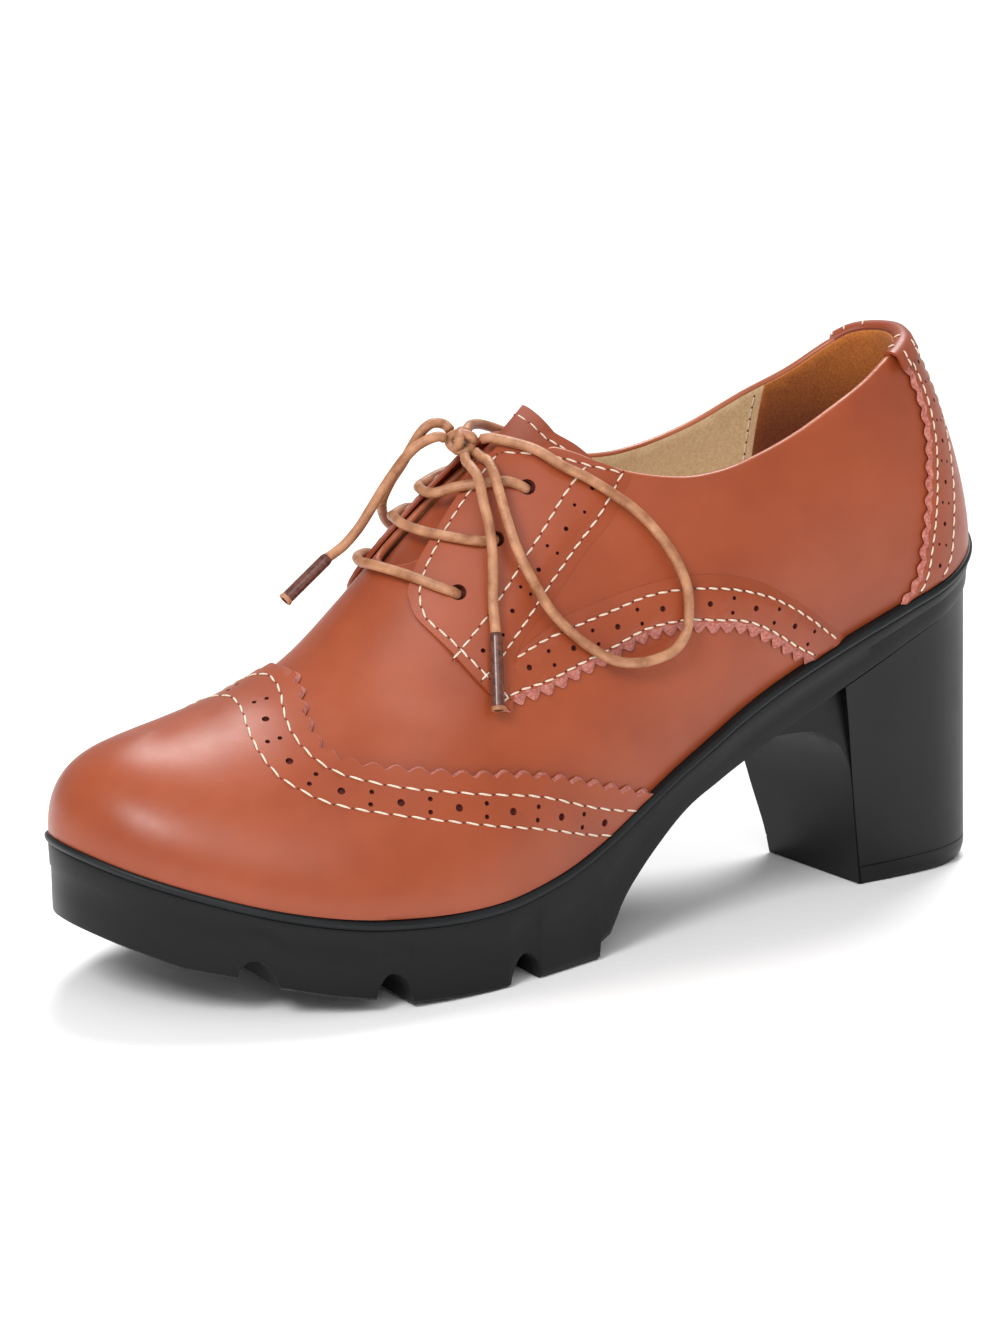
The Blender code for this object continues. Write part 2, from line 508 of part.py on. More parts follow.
def build_ring_body(name, stations, rings, bottom, top, look):
    """Solid between two heights; each ring is (outward offset, height share from top to bottom)."""
    loop = [(OUTER_SIDE, t) for t in stations] + [(INNER_SIDE, t) for t in stations[-2:0:-1]]
    count, points = len(loop), []
    for out, depth in rings:
        for side, t in loop:
            t = np.array(t)
            base, normal = feather(side, t), plan_normal(side, t)
            x, y = base[:2] + normal * out
            high, low = top(x), bottom(base[0])
            points.append((x, y, depth(high, low)))
    faces = []
    for r in range(len(rings) - 1):
        for k in range(count):
            n = (k + 1) % count
            faces.append([r * count + k, r * count + n, (r + 1) * count + n, (r + 1) * count + k])
    last = len(stations) - 1
    for r, turn in ((0, 1), (len(rings) - 1, -1)):
        for k in range(last):
            near = [k, k + 1]
            far = [(count - k - 1) % count, (count - k) % count]
            face = [r * count + v for v in near + far]
            face = [v for i, v in enumerate(face) if v not in face[:i]]
            faces.append(face[::turn])
    return add_object(name, points, faces, look)


def sole_stations():
    """Sections that meet every corner of the tread and the waist, with more where it curves."""
    corners = [row[0] for row in TREAD_ROWS if row[0] > -0.49] + [row[0] for row in WAIST_ROWS[:-1]]
    marks = list(station(np.array(corners))) + list(np.arange(0, 4.6, 0.5)) + [15.3, 15.7, 16.2, 16.6]
    marks += list(station(np.array([0.26, 0.34, 0.37, 0.45]))) + [END]
    marks = sorted(set(np.round(marks, 4)))
    kept = [marks[0]]
    for mark in marks[1:]:
        if mark - kept[-1] > 0.03:
            kept.append(mark)
    kept[-1] = float(END)
    return np.array(kept)


def build_outsole():
    side_out = WELT - BEAD_OUT
    rings = [
        (-0.004, lambda high, low: high),
        (WELT - 0.0006, lambda high, low: high),
        (WELT, lambda high, low: high - BEAD * 0.3),
        (WELT, lambda high, low: high - BEAD * 0.75),
        (side_out, lambda high, low: high - BEAD),
        (side_out - 0.0002, lambda high, low: high - BEAD - (high - BEAD - low) * 0.30),
        (side_out - 0.0002 - SIDE_RIB, lambda high, low: high - BEAD - (high - BEAD - low) * 0.36),
        (side_out - 0.0006, lambda high, low: low + 0.0008),
        (side_out - 0.0014, lambda high, low: low),
    ]
    build_ring_body("outsole", sole_stations(), rings, underside, seat, RUBBER)


def build_insole():
    inset = -(UPPER_WALL + INSOLE_CLEAR)
    floor = lambda x: seat(x) + GAP
    rings = [
        (inset - 0.0006, lambda high, low: high + INSOLE),
        (inset, lambda high, low: high + INSOLE * 0.8),
        (inset, lambda high, low: high),
    ]
    stations = np.concatenate([np.arange(0, 3, 0.5), np.arange(3, END - 0.4, 0.7), [END - 0.4, END]])
    build_ring_body("insole", stations, rings, floor, floor, INSOLE_LEATHER)


def build_heel():
    """Block that narrows to its foot, with a breast that sweeps forward under the waist."""
    sides = station(np.array(HEEL_SIDES))
    tops = []
    for side in (OUTER_SIDE, INNER_SIDE):
        inset = WELT - BEAD_OUT - HEEL_TOP_INSET
        tops.append(feather(side, sides)[:, :2] + plan_normal(side, sides) * inset)
    top_front = tops[0][0, 0]
    deep = max(top[-1, 0] for top in tops) - top_front
    layers = []
    for height, forward, widening in HEEL_ROWS:
        outline = []
        for side, top in zip((OUTER_SIDE, INNER_SIDE), tops):
            back = np.clip((top[:, 0] - top_front) / deep, 0, 1)
            foot_y = top[:, 1] / abs(top[0, 1]) * HEEL_FOOT_WIDTH / 2
            foot_y = foot_y - HEEL_FOOT_SHIFT - back * HEEL_FOOT_SWING
            turn = HEEL_FOOT_TURN * (foot_y + HEEL_FOOT_WIDTH / 2 + HEEL_FOOT_SHIFT)
            foot_x = HEEL_FOOT_FRONT + back * HEEL_FOOT_LENGTH - turn
            edge = HEEL_FOOT_ROUND * max(0.0, 1 - height / 0.05) ** 2
            foot_x = foot_x - edge * back
            foot_y = foot_y - edge * side * np.sqrt(back) / 2
            x = foot_x + (top[:, 0] - foot_x) * height
            y = foot_y + (top[:, 1] - foot_y) * widening
            fade = max(0.0, (height - HEEL_WEB_FADE) / (1 - HEEL_WEB_FADE))
            web_y = y[0] - side * (HEEL_WEB_INSET * fade + GAP)
            web_x = foot_x[0] - HEEL_WEB_STEP - HEEL_WEB_REACH * forward
            half = [(web_x, web_y), (x[0], web_y)] + list(zip(x, y))
            outline += half if side == OUTER_SIDE else half[::-1]
        layers.append([(x, y, height * (float(underside(x)) - GAP)) for x, y in outline])
    count = len(layers[0])
    points = [p for layer in layers for p in layer]
    faces = []
    for r in range(len(layers) - 1):
        for k in range(count):
            n = (k + 1) % count
            faces.append([r * count + k, r * count + n, (r + 1) * count + n, (r + 1) * count + k])
    for r, turn in ((0, -1), (len(layers) - 1, 1)):
        for k in range(count // 2 - 1):
            quad = [k, k + 1, count - k - 2, count - k - 1]
            faces.append([r * count + v for v in quad][::turn])
    add_object("heel", points, faces, RUBBER)


def tube(name, route, radius, look, sides=8):
    """Round cord along a route of points."""
    route = np.array(route, float)
    ways = np.gradient(route, axis=0)
    ways /= np.linalg.norm(ways, axis=1, keepdims=True)
    up = np.cross(ways[0], (0.3, 0.5, 0.8))
    up /= np.linalg.norm(up)
    points = []
    for place, way in zip(route, ways):
        up = up - way * (up @ way)
        up /= np.linalg.norm(up)
        other = np.cross(way, up)
        for k in range(sides):
            angle = 2 * np.pi * k / sides
            points.append(place + radius * (np.cos(angle) * up + np.sin(angle) * other))
    faces = [list(range(sides))[::-1], [len(points) - sides + k for k in range(sides)]]
    for r in range(len(route) - 1):
        for k in range(sides):
            n = (k + 1) % sides
            faces.append([r * sides + k, r * sides + n, (r + 1) * sides + n, (r + 1) * sides + k])
    return add_object(name, points, faces, look)


def over_leather(side, along, share, lift):
    t, s = station(np.array([along])), np.array([share])
    return (skin_point(side, t, s) + skin_normal(side, t, s) * lift)[0]


def build_lace_bars():
    """Each bar crosses the throat from one facing to the other, just above the leather."""
    ground = OVERLAY_GAP + OVERLAY + LACE / 2 + BAR_CLEAR
    for number, bar in enumerate(BARS, 1):
        route = [over_leather(side, along, share, ground) for side, along, share in bar]
        tube(f"lace_bar_{number}", route, LACE / 2, CORD)


def at_knot(toward):
    """Where a cord that leaves the knot toward this point starts, in millimetres."""
    way = np.array(toward) - KNOT_PLACE
    way /= np.linalg.norm(way)
    reach = 1 / np.linalg.norm(way / np.array(KNOT_RADII))
    return tuple(KNOT_PLACE + way * (reach + GAP / MM))


def build_bow():
    """The knot, its two loops and the lace's two ends with their aglets."""
    work = bmesh.new()
    bmesh.ops.create_icosphere(work, subdivisions=2, radius=1.0)
    work.verts.ensure_lookup_table()
    points = [MM * (np.array(KNOT_PLACE) + np.array(v.co) * KNOT_RADII) for v in work.verts]
    faces = [[v.index for v in face.verts] for face in work.faces]
    work.free()
    add_object("lace_knot", points, faces, CORD)
    loops = {"lace_loop_lateral": LOOP_LATERAL, "lace_loop_medial": LOOP_MEDIAL}
    for name, route in loops.items():
        route = [at_knot(route[0])] + route + [at_knot(route[-1])]
        tube(name, MM * np.array(route), LACE / 2, CORD, sides=6)
    for name, route in {"lace_end_front": END_FRONT, "lace_end_side": END_SIDE}.items():
        tube(name, MM * np.array([at_knot(route[0])] + route), LACE / 2, CORD, sides=6)
    for name, route in {"aglet_front": AGLET_FRONT, "aglet_side": AGLET_SIDE}.items():
        tube(name, MM * np.array(route), AGLET / 2, TIP, sides=8)


build_outsole()
build_upper()
build_tongue()
build_insole()
build_heel()
build_wing_cap()
for word, side in (("lateral", OUTER_SIDE), ("medial", INNER_SIDE)):
    build_facing(f"facing_{word}", side)
    build_side_band(f"side_band_{word}", side)
build_back_strap()
build_lace_bars()
build_bow()
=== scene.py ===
# %% [markdown]
# A left oxford shoe in tan leather, with a lugged rubber platform, a block heel and a waxed lace.
# The script loads the engineer's solids as a fixed frame. It then dresses them with leather panels, stitches,
# punched holes and a braided lace. It is a lesson: each part of the shoe has its own cells.

# %% Load the frame
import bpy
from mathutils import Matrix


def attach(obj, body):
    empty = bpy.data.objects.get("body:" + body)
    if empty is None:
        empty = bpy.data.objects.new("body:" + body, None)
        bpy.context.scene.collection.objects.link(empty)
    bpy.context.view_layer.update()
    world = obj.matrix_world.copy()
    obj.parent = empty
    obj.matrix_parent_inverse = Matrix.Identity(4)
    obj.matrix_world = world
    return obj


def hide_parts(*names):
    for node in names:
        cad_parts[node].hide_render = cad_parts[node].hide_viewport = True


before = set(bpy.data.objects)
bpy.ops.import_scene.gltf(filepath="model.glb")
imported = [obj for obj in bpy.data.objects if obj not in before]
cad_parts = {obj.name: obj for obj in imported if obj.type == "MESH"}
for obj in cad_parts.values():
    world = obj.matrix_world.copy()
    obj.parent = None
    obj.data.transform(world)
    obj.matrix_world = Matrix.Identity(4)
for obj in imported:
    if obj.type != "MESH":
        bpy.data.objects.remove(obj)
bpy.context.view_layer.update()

import math
import bmesh
import bpy
import numpy as np
from mathutils import Vector
from mathutils.geometry import delaunay_2d_cdt

print("solids:", sorted(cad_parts))

# %% [markdown]
# The camera comes first, because every detail is judged from it. A product photo like this one is taken with
# a long lens from about a metre. The lens is worked out from the picture's height and the focal length, both
# in pixels.

# %% Camera at the photo's angle
AZIMUTH, ELEVATION = math.radians(-31.5), math.radians(14.5)
AIM = Vector((-0.0030, 0.01015, 0.0600))
DISTANCE = 0.926
PICTURE_HEIGHT, FOCAL_PIXELS = 1333, 3900
SENSOR = 36.0

camera_data = bpy.data.cameras.new("camera")
camera_data.sensor_fit = "VERTICAL"
camera_data.sensor_height = SENSOR
camera_data.lens = FOCAL_PIXELS / PICTURE_HEIGHT * SENSOR
camera_data.clip_start, camera_data.clip_end = 0.01, 50
camera = bpy.data.objects.new("camera", camera_data)
bpy.context.collection.objects.link(camera)
toward = Vector((math.sin(AZIMUTH) * math.cos(ELEVATION), -math.cos(AZIMUTH) * math.cos(ELEVATION),
                 math.sin(ELEVATION)))
camera.location = AIM + DISTANCE * toward
camera.rotation_euler = toward.to_track_quat("Z", "Y").to_euler()
bpy.context.scene.camera = camera
print("lens in millimetres:", round(camera_data.lens, 1))

# %% [markdown]
# A material in Blender is a small network of nodes. One helper adds a node with its settings and its links,
# and one turns a hex colour, which is written in sRGB, into the linear values that the shader works with.
# Nothing real has one even colour, so every finish here starts from one that wanders between two.

# %% Helpers for materials
MM = 0.001


def linear(hex_colour):
    """Linear red, green, blue and alpha of an sRGB hex colour."""
    values = [int(hex_colour[i:i + 2], 16) / 255 for i in (1, 3, 5)]
    return tuple(v / 12.92 if v <= 0.04045 else ((v + 0.055) / 1.055) ** 2.4 for v in values) + (1,)


def add_node(tree, kind, inputs=None, stops=(), **settings):
    """One node. An input is a number or colour, or a node's output to link; stops are a colour ramp's."""
    made = tree.nodes.new(kind)
    for key, value in settings.items():
        setattr(made, key, value)
    for number, (position, colour) in enumerate(stops):
        made.color_ramp.elements[number].position = position
        made.color_ramp.elements[number].color = linear(colour)
    for key, value in (inputs or {}).items():
        if isinstance(value, bpy.types.NodeSocket):
            tree.links.new(value, made.inputs[key])
        else:
            made.inputs[key].default_value = value
    return made


def dyed(name, colours, scale, detail, span=(0.35, 0.65), roughness=0.5, ior=1.5, softness=0.5, bump=None):
    """A material whose colour wanders between its second and third hex colour, over blotches of this scale.

    The first colour is the plain one. bump is the strength and the depth in mm of the same blotches."""
    made = bpy.data.materials.new(name)
    made.use_nodes = True
    tree = made.node_tree
    shader = tree.nodes["Principled BSDF"]
    for key, value in (("Base Color", linear(colours[0])), ("Roughness", roughness), ("IOR", ior)):
        shader.inputs[key].default_value = value
    place = add_node(tree, "ShaderNodeTexCoord").outputs["Object"]
    blotches = add_node(tree, "ShaderNodeTexNoise", {"Vector": place, "Scale": scale, "Detail": detail,
                                                     "Roughness": softness}).outputs["Fac"]
    dye = add_node(tree, "ShaderNodeValToRGB", {"Fac": blotches}, zip(span, colours[1:]))
    tree.links.new(dye.outputs["Color"], shader.inputs["Base Color"])
    if bump:
        swell = add_node(tree, "ShaderNodeBump", {"Height": blotches, "Strength": bump[0],
                                                  "Distance": bump[1] * MM})
        tree.links.new(swell.outputs["Normal"], shader.inputs["Normal"])
    return made, tree, shader, place, blotches

# %% [markdown]
# The uppers are smooth calf leather: tanned cowhide, dyed tan, pressed flat and finished with a thin clear
# coat. It gives the eye a broad soft highlight, a very fine grain of pores, and a colour that is a little
# redder and darker in places. The grain is drawn at 0.5 mm, which is coarser than the real one, so it shows.

# %% Calf leather
def calf_leather(part, dark="#8A3B1B", light="#9B4725", roughness=0.40):
    made, tree, shader, place, _ = dyed("calf_leather_" + part, ("#93411F", dark, light), 34, 3,
                                        (0.32, 0.68), roughness, 1.43, 0.55)
    grain = add_node(tree, "ShaderNodeTexVoronoi", {"Vector": place, "Scale": 1 / (0.5 * MM),
                                                    "Randomness": 0.9}).outputs["Distance"]
    waves = add_node(tree, "ShaderNodeTexNoise", {"Vector": place, "Scale": 1 / (6 * MM), "Detail": 4,
                                                  "Roughness": 0.6}).outputs["Fac"]
    soft = add_node(tree, "ShaderNodeBump", {"Height": waves, "Strength": 0.10, "Distance": 0.4 * MM})
    fine = add_node(tree, "ShaderNodeBump", {"Height": grain, "Strength": 0.10, "Distance": 0.06 * MM,
                                             "Normal": soft.outputs["Normal"]})
    tree.links.new(fine.outputs["Normal"], shader.inputs["Normal"])
    roughness_and_light_range = add_node(tree, "ShaderNodeMapRange", {"Value": waves, "From Min": 0.3, "From Max": 0.7,
                                                 "To Min": roughness - 0.05, "To Max": roughness + 0.06})
    tree.links.new(roughness_and_light_range.outputs["Result"], shader.inputs["Roughness"])
    shader.inputs["Coat Weight"].default_value = 0.14
    shader.inputs["Coat Roughness"].default_value = 0.35
    return made


UPPER_LEATHER, CAP_LEATHER, FACING_LEATHER, BAND_LEATHER, STRAP_LEATHER = (
    calf_leather(part) for part in ("upper", "cap", "facing", "band", "strap"))
TONGUE_LEATHER = calf_leather("tongue", "#833718", "#934220")
# The upper's cut rim is the same leather painted lighter: a painted highlight meant for the folded collar
# edge.
RIM_PAINTED_HIGHLIGHT = calf_leather("rim", "#964A2A", "#AE6442", 0.34)

# %% [markdown]
# Where the panels are cut, the raw edge of the hide shows. It is fibrous and takes no finish, so it is matt,
# and on this shoe it is stained a dusty mauve. The walls of the punched holes are the same raw edge, painted
# dark as the shade inside them.

# %% Raw edges and holes
def raw_edge(name, colour, second):
    return dyed(name, (colour, colour, second), 1 / (0.7 * MM), 3, roughness=0.85, bump=(0.4, 0.15))[0]


RAW_EDGE = raw_edge("raw_edge_of_hide", "#9A5246", "#BA786C")
# Painted shade: this dark colour stands for the shade inside the holes. It also colours the discs under the
# holes, the needle holes and the aglets' bores.
PAINTED_HOLE_SHADE = raw_edge("painted_hole_shade", "#4A160F", "#6A2419")

# %% [markdown]
# The lining at the front and sides is pale pigskin, and a piece of orange suede grips the heel. Suede is the
# flesh side of the hide, brushed up to a nap, so it has no shine and a lighter rim, which the sheen gives.
# The suede's colour is painted: brighter near the collar, as light falling on its top, and darker deep in the
# heel, as shade.

# %% Linings and insole
PAINTED_LIGHT_FROM, PAINTED_LIGHT_TO = 0.103, 0.130     # heights between which the suede turns from painted shade to painted light


def soft_lining(name, colour, second, sheen, pore, painted_light_colours=None):
    made, tree, shader, place, pores = dyed(name, (colour, colour, second), 1 / (pore * MM), 4,
                                            roughness=0.9, softness=0.7, bump=(0.25, 0.12))
    # Painted light and shade: by height, the colour blends from the dark suede low in the heel to brighter
    # colours near the collar.
    if painted_light_colours:
        height = add_node(tree, "ShaderNodeSeparateXYZ", {"Vector": place}).outputs["Z"]
        roughness_and_light_range = add_node(tree, "ShaderNodeMapRange", {"Value": height, "From Min": PAINTED_LIGHT_FROM,
                                                     "From Max": PAINTED_LIGHT_TO}, interpolation_type="SMOOTHSTEP")
        painted_light_ramp = add_node(tree, "ShaderNodeValToRGB", {"Fac": pores}, zip((0.35, 0.65), painted_light_colours))
        blend = add_node(tree, "ShaderNodeMix", {0: roughness_and_light_range.outputs["Result"], 7: painted_light_ramp.outputs["Color"],
                                                 6: shader.inputs["Base Color"].links[0].from_socket},
                         data_type="RGBA")
        tree.links.new(blend.outputs[2], shader.inputs["Base Color"])
    shader.inputs["Sheen Weight"].default_value = sheen
    shader.inputs["Sheen Roughness"].default_value = 0.5
    return made


PIGSKIN = soft_lining("pigskin_lining", "#DDBB8C", "#EFD6AE", 0.05, 0.8)
# The suede's own orange is painted dark low in the heel, as shade, and bright near the collar, as light.
SUEDE = soft_lining("suede_heel_lining", "#5E260B", "#823D13", 0.12, 0.5, painted_light_colours=("#A4581F", "#C97C35"))
SOCK = soft_lining("insole_sock_leather", "#C49B68", "#D6B282", 0.0, 1.0)

# %% [markdown]
# The sole and the heel are moulded black rubber. It is a satin grey-black, because the mould was blasted
# with grit, so the bump is fine and even. The thread is a thick cream polyester, and the lace is braided
# cotton soaked in wax. Its ends are shrunk into brown plastic.

# %% Rubber, thread, lace and aglet
def moulded_rubber(part, dark="#080707", light="#0D0C0C"):
    made, tree, shader, place, cloud = dyed("moulded_rubber_" + part, (dark, dark, light), 40, 3, (0.3, 0.7),
                                            0.40, 1.32)
    grit = add_node(tree, "ShaderNodeTexNoise", {"Vector": place, "Scale": 1 / (0.6 * MM), "Detail": 3,
                                                 "Roughness": 0.6}).outputs["Fac"]
    bump = add_node(tree, "ShaderNodeBump", {"Height": grit, "Strength": 0.18, "Distance": 0.08 * MM})
    tree.links.new(bump.outputs["Normal"], shader.inputs["Normal"])
    rough = add_node(tree, "ShaderNodeMapRange", {"Value": cloud, "From Min": 0.3, "From Max": 0.7,
                                                  "To Min": 0.38, "To Max": 0.50})
    tree.links.new(rough.outputs["Result"], shader.inputs["Roughness"])
    return made


def waxed_cotton(name, braid_pitch=1.5):
    """Braid: two sets of slanting ridges, drawn from the tube's own length and turn."""
    made, tree, shader, _, _ = dyed(name, ("#B5794F", "#8C5836", "#B98460"), 260, 3, (0.32, 0.68), 0.48)
    along = add_node(tree, "ShaderNodeUVMap").outputs["UV"]
    ridges = []
    for slant in (1, -1):
        turned = add_node(tree, "ShaderNodeMapping", {"Vector": along, "Rotation": (0, 0, slant * 0.75),
                                                      "Scale": (1 / braid_pitch, 1 / braid_pitch, 1)})
        wave = add_node(tree, "ShaderNodeTexWave", {"Vector": turned.outputs["Vector"], "Scale": 0.55,
                                                    "Distortion": 0.3}, wave_type="BANDS")
        ridges.append(wave.outputs["Fac"])
    braid = add_node(tree, "ShaderNodeMath", {0: ridges[0], 1: ridges[1]}, operation="MAXIMUM")
    bump = add_node(tree, "ShaderNodeBump", {"Height": braid.outputs[0], "Strength": 0.35,
                                             "Distance": 0.12 * MM})
    tree.links.new(bump.outputs["Normal"], shader.inputs["Normal"])
    return made


SOLE_RUBBER, HEEL_RUBBER = moulded_rubber("sole"), moulded_rubber("heel")
BEAD_RUBBER = moulded_rubber("bead", "#111415", "#1A1E20")
THREAD = dyed("polyester_thread", ("#D8C0A0", "#CFB79E", "#E8DAC8"), 1 / (0.3 * MM), 1, roughness=0.6)[0]
LACE_COTTON, AGLET_RIM = waxed_cotton("waxed_cotton_lace"), waxed_cotton("cut_lace_end", 0.6)
AGLET_PLASTIC = dyed("shrunk_plastic_aglet", ("#5A3228", "#4A2820", "#6A3E32"), 900, 2, roughness=0.24)[0]

# %% [markdown]
# The lace is one round cord. The free stretches of it are two loops and two ends, and all of them leave the
# knot. Each is a tube along a smooth curve through a few points, with its length along the tube kept as a
# texture coordinate, so the braid follows it. The real lace is also pressed flat a little where it bends.

# %% Tubes along a route
def unit(vectors):
    return vectors / np.maximum(np.linalg.norm(vectors, axis=-1, keepdims=True), 1e-15)


def spline(rows, t, before, after):
    """Catmull-Rom curve, one step of t for each row; before and after are the rows past its ends."""
    padded = np.vstack([before, rows, after])
    t = np.clip(t, 0, len(rows) - 1)
    i = np.clip(np.floor(t).astype(int), 0, len(rows) - 2)
    f = (t - i)[..., None]
    a, b, c, d = (padded[i + k] for k in range(4))
    return 0.5 * (2 * b + (c - a) * f + (2 * a - 5 * b + 4 * c - d) * f**2
                  + (3 * b - a - 3 * c + d) * f**3)


def smooth_line(rows, count):
    """This many points on a smooth curve through the rows, with both ends carried on straight."""
    return spline(rows, np.linspace(0, len(rows) - 1, count), 2 * rows[0] - rows[1], 2 * rows[-1] - rows[-2])


def run_along(points):
    """How far each point is from the first, along the line."""
    return np.concatenate([[0], np.cumsum(np.linalg.norm(np.diff(points, axis=0), axis=1))])


def evenly(line, run, count):
    """The line's rows at this many even steps of its run."""
    return np.stack([np.interp(np.linspace(0, run[-1], count), run, column) for column in line.T], -1)


def through(points, step):
    """Evenly spaced points on a smooth curve through the given ones, and its length."""
    line = smooth_line(np.array(points, float), 12 * (len(points) - 1) + 1)
    run = run_along(line)
    return evenly(line, run, max(2, int(round(run[-1] / step)) + 1)), run[-1]


def new_object(name, points, faces, looks, marks=None, sharp=None):
    """A smooth mesh. marks are the faces' numbers of look; edges sharper than this angle stay crisp."""
    mesh = bpy.data.meshes.new(name)
    mesh.from_pydata([tuple(map(float, p)) for p in points], [], faces)
    for look in looks:
        mesh.materials.append(look)
    mesh.polygons.foreach_set("use_smooth", [True] * len(mesh.polygons))
    if marks is not None:
        mesh.polygons.foreach_set("material_index", marks)
    if sharp:
        mesh.set_sharp_from_angle(angle=sharp)
    made = bpy.data.objects.new(name, mesh)
    bpy.context.collection.objects.link(made)
    return made


def dress(piece, slot, *nodes):
    """Says what the piece rides on and which solids it stands for. slot, which would name its finish, is not
    used.
    """
    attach(piece, "root")
    if nodes:
        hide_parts(*nodes)


def circle(first, second, corners):
    """Corners of a circle in the plane of two vectors, whose length is its radius."""
    turns = 2 * np.pi * np.arange(corners) / corners
    return np.cos(turns)[:, None] * first + np.sin(turns)[:, None] * second


def ring_faces(rings, count):
    """Faces between closed rings of this many points."""
    return [[r * count + k, r * count + (k + 1) % count, (r + 1) * count + (k + 1) % count,
             (r + 1) * count + k] for r in range(rings - 1) for k in range(count)]


def tube(name, points, radii, look, sides=14, mouth=()):
    """A closed tube along points with one radius for each, and its own length and turn as UV.

    mouth holds the looks of a rim and of a bore painted dark as shade, which end the tube."""
    points = np.array(points, float)
    ways = unit(np.gradient(points, axis=0))
    up = np.cross(ways[0], (0.3, 0.5, 0.8))
    rings = []
    for place, way, radius in zip(points, ways, np.broadcast_to(radii, len(points))):
        up = unit(up - way * (up @ way))
        rings.append(place + radius * circle(up, np.cross(way, up), sides))
    run = run_along(points) / MM
    if mouth:
        for share, depth in ((0.62, 0.0), (0.56, 0.9 * MM)):
            rings.append(points[-1] - ways[-1] * depth + (rings[len(points) - 1] - points[-1]) * share)
        run = np.append(run, [run[-1], run[-1]])
    count = len(rings)
    faces = ring_faces(count, sides)
    faces += [list(range(sides))[::-1], [(count - 1) * sides + k for k in range(sides)]]
    marks = [0] * ((count - 5) * sides) + [1] * (3 * sides) + [2] * sides + [0, 2]
    made = new_object(name, np.vstack(rings), faces, [look, *mouth], marks if mouth else None,
                      0.9 if mouth else None)
    layer = made.data.uv_layers.new(name="along")
    girth = 2 * np.pi * float(np.mean(radii)) / MM
    for face in made.data.polygons:
        for corner, loop in enumerate(face.loop_indices):
            ring, k = divmod(face.vertices[corner], sides)
            if len(face.vertices) == 4 and corner in (1, 2):
                k = k or sides
            layer.data[loop].uv = (run[ring], girth * k / sides)
    return made

# %% Routes of the free lace, in millimetres
LACE = 0.0024
AGLET = 0.0030
KNOT_PLACE = np.array((-17.6, 3.0, 117.0))
KNOT_RADII = np.array((4.4, 4.8, 3.6))
LOOP_LATERAL = [
    (-12.7, -1.6, 118.2), (-9.4, -5.2, 117.5), (-5.4, -9.9, 116.0), (-1.4, -14.3, 112.8),
    (3.8, -17.1, 109.8), (8.7, -20.0, 106.2), (13.0, -22.5, 102.6), (16.3, -24.7, 98.8),
    (19.4, -27.0, 94.0), (21.6, -28.8, 89.2), (22.8, -30.3, 84.5), (22.9, -31.1, 79.5),
    (21.7, -32.1, 74.6), (19.0, -32.7, 71.3), (15.3, -32.8, 69.6), (8.6, -32.6, 68.8),
    (1.6, -31.8, 70.2), (-5.7, -29.5, 75.3), (-11.5, -26.4, 82.0), (-15.6, -23.2, 90.6),
    (-17.7, -20.8, 97.0), (-18.0, -17.4, 102.6), (-17.8, -14.4, 107.0), (-17.2, -10.4, 111.9),
    (-16.4, -6.4, 114.0), (-16.0, -3.6, 114.2),
]
LOOP_MEDIAL = [
    (-19.5, 8.0, 120.5), (-22.5, 8.2, 121.0), (-25.2, 8.6, 119.2), (-27.0, 10.0, 115.6),
    (-28.6, 11.8, 111.4), (-30.6, 14.0, 106.8), (-30.8, 17.4, 101.4), (-27.0, 22.0, 96.0),
    (-20.0, 26.2, 91.3), (-13.0, 28.6, 87.3), (-6.9, 29.4, 84.4), (0.0, 29.6, 82.7), (6.3, 29.4, 82.7),
    (11.5, 29.0, 86.0), (15.6, 28.2, 91.6), (16.8, 26.8, 97.6), (15.9, 25.2, 103.2),
    (12.2, 22.8, 108.6), (7.0, 20.4, 112.7), (1.0, 17.6, 115.6), (-4.9, 14.8, 117.8),
    (-9.5, 11.5, 118.9), (-12.6, 8.6, 119.0),
]
END_FRONT = [
    (-23.5, 4.5, 118.6), (-27.1, 6.0, 117.0), (-29.8, 7.5, 114.2), (-32.0, 8.8, 110.9),
    (-35.0, 10.0, 106.2), (-37.6, 11.0, 101.7), (-40.4, 11.6, 97.6), (-43.7, 12.0, 94.2),
    (-46.2, 12.1, 92.6), (-48.4, 12.2, 91.4),
]
AGLET_FRONT = [(-48.2, 12.2, 91.55), (-59.6, 12.3, 82.8)]
END_SIDE = [
    (-19.6, -2.2, 113.4), (-20.4, -5.4, 113.0), (-20.8, -9.4, 111.0), (-21.6, -13.2, 105.9),
    (-22.0, -15.8, 102.3), (-22.8, -18.6, 97.6), (-23.7, -20.6, 91.5), (-24.6, -22.1, 85.3),
    (-25.8, -25.3, 78.2),
]
AGLET_SIDE = [(-25.7, -25.1, 78.6), (-29.4, -32.2, 62.6)]


def at_knot(toward_point):
    """Where a cord that leaves the knot toward this point starts."""
    way = unit(np.array(toward_point) - KNOT_PLACE)
    return KNOT_PLACE + way * (1 / np.linalg.norm(way / KNOT_RADII))


# %% Knot and aglets
def make_knot():
    """Two turns of the lace drawn tight round each other."""
    route = []
    for k in range(49):
        turn = 2 * np.pi * 2 * k / 48
        reach = 2.5 + 0.25 * math.sin(1.5 * turn)
        route.append(KNOT_PLACE + (reach * math.cos(turn) * 0.9, 1.9 * math.sin(turn * 1.5 + 0.4),
                                   reach * math.sin(turn) * 0.85))
    line, _ = through(np.array(route) * MM, 0.0006)
    return tube("bow_knot", line, LACE / 2 * 0.95, LACE_COTTON)


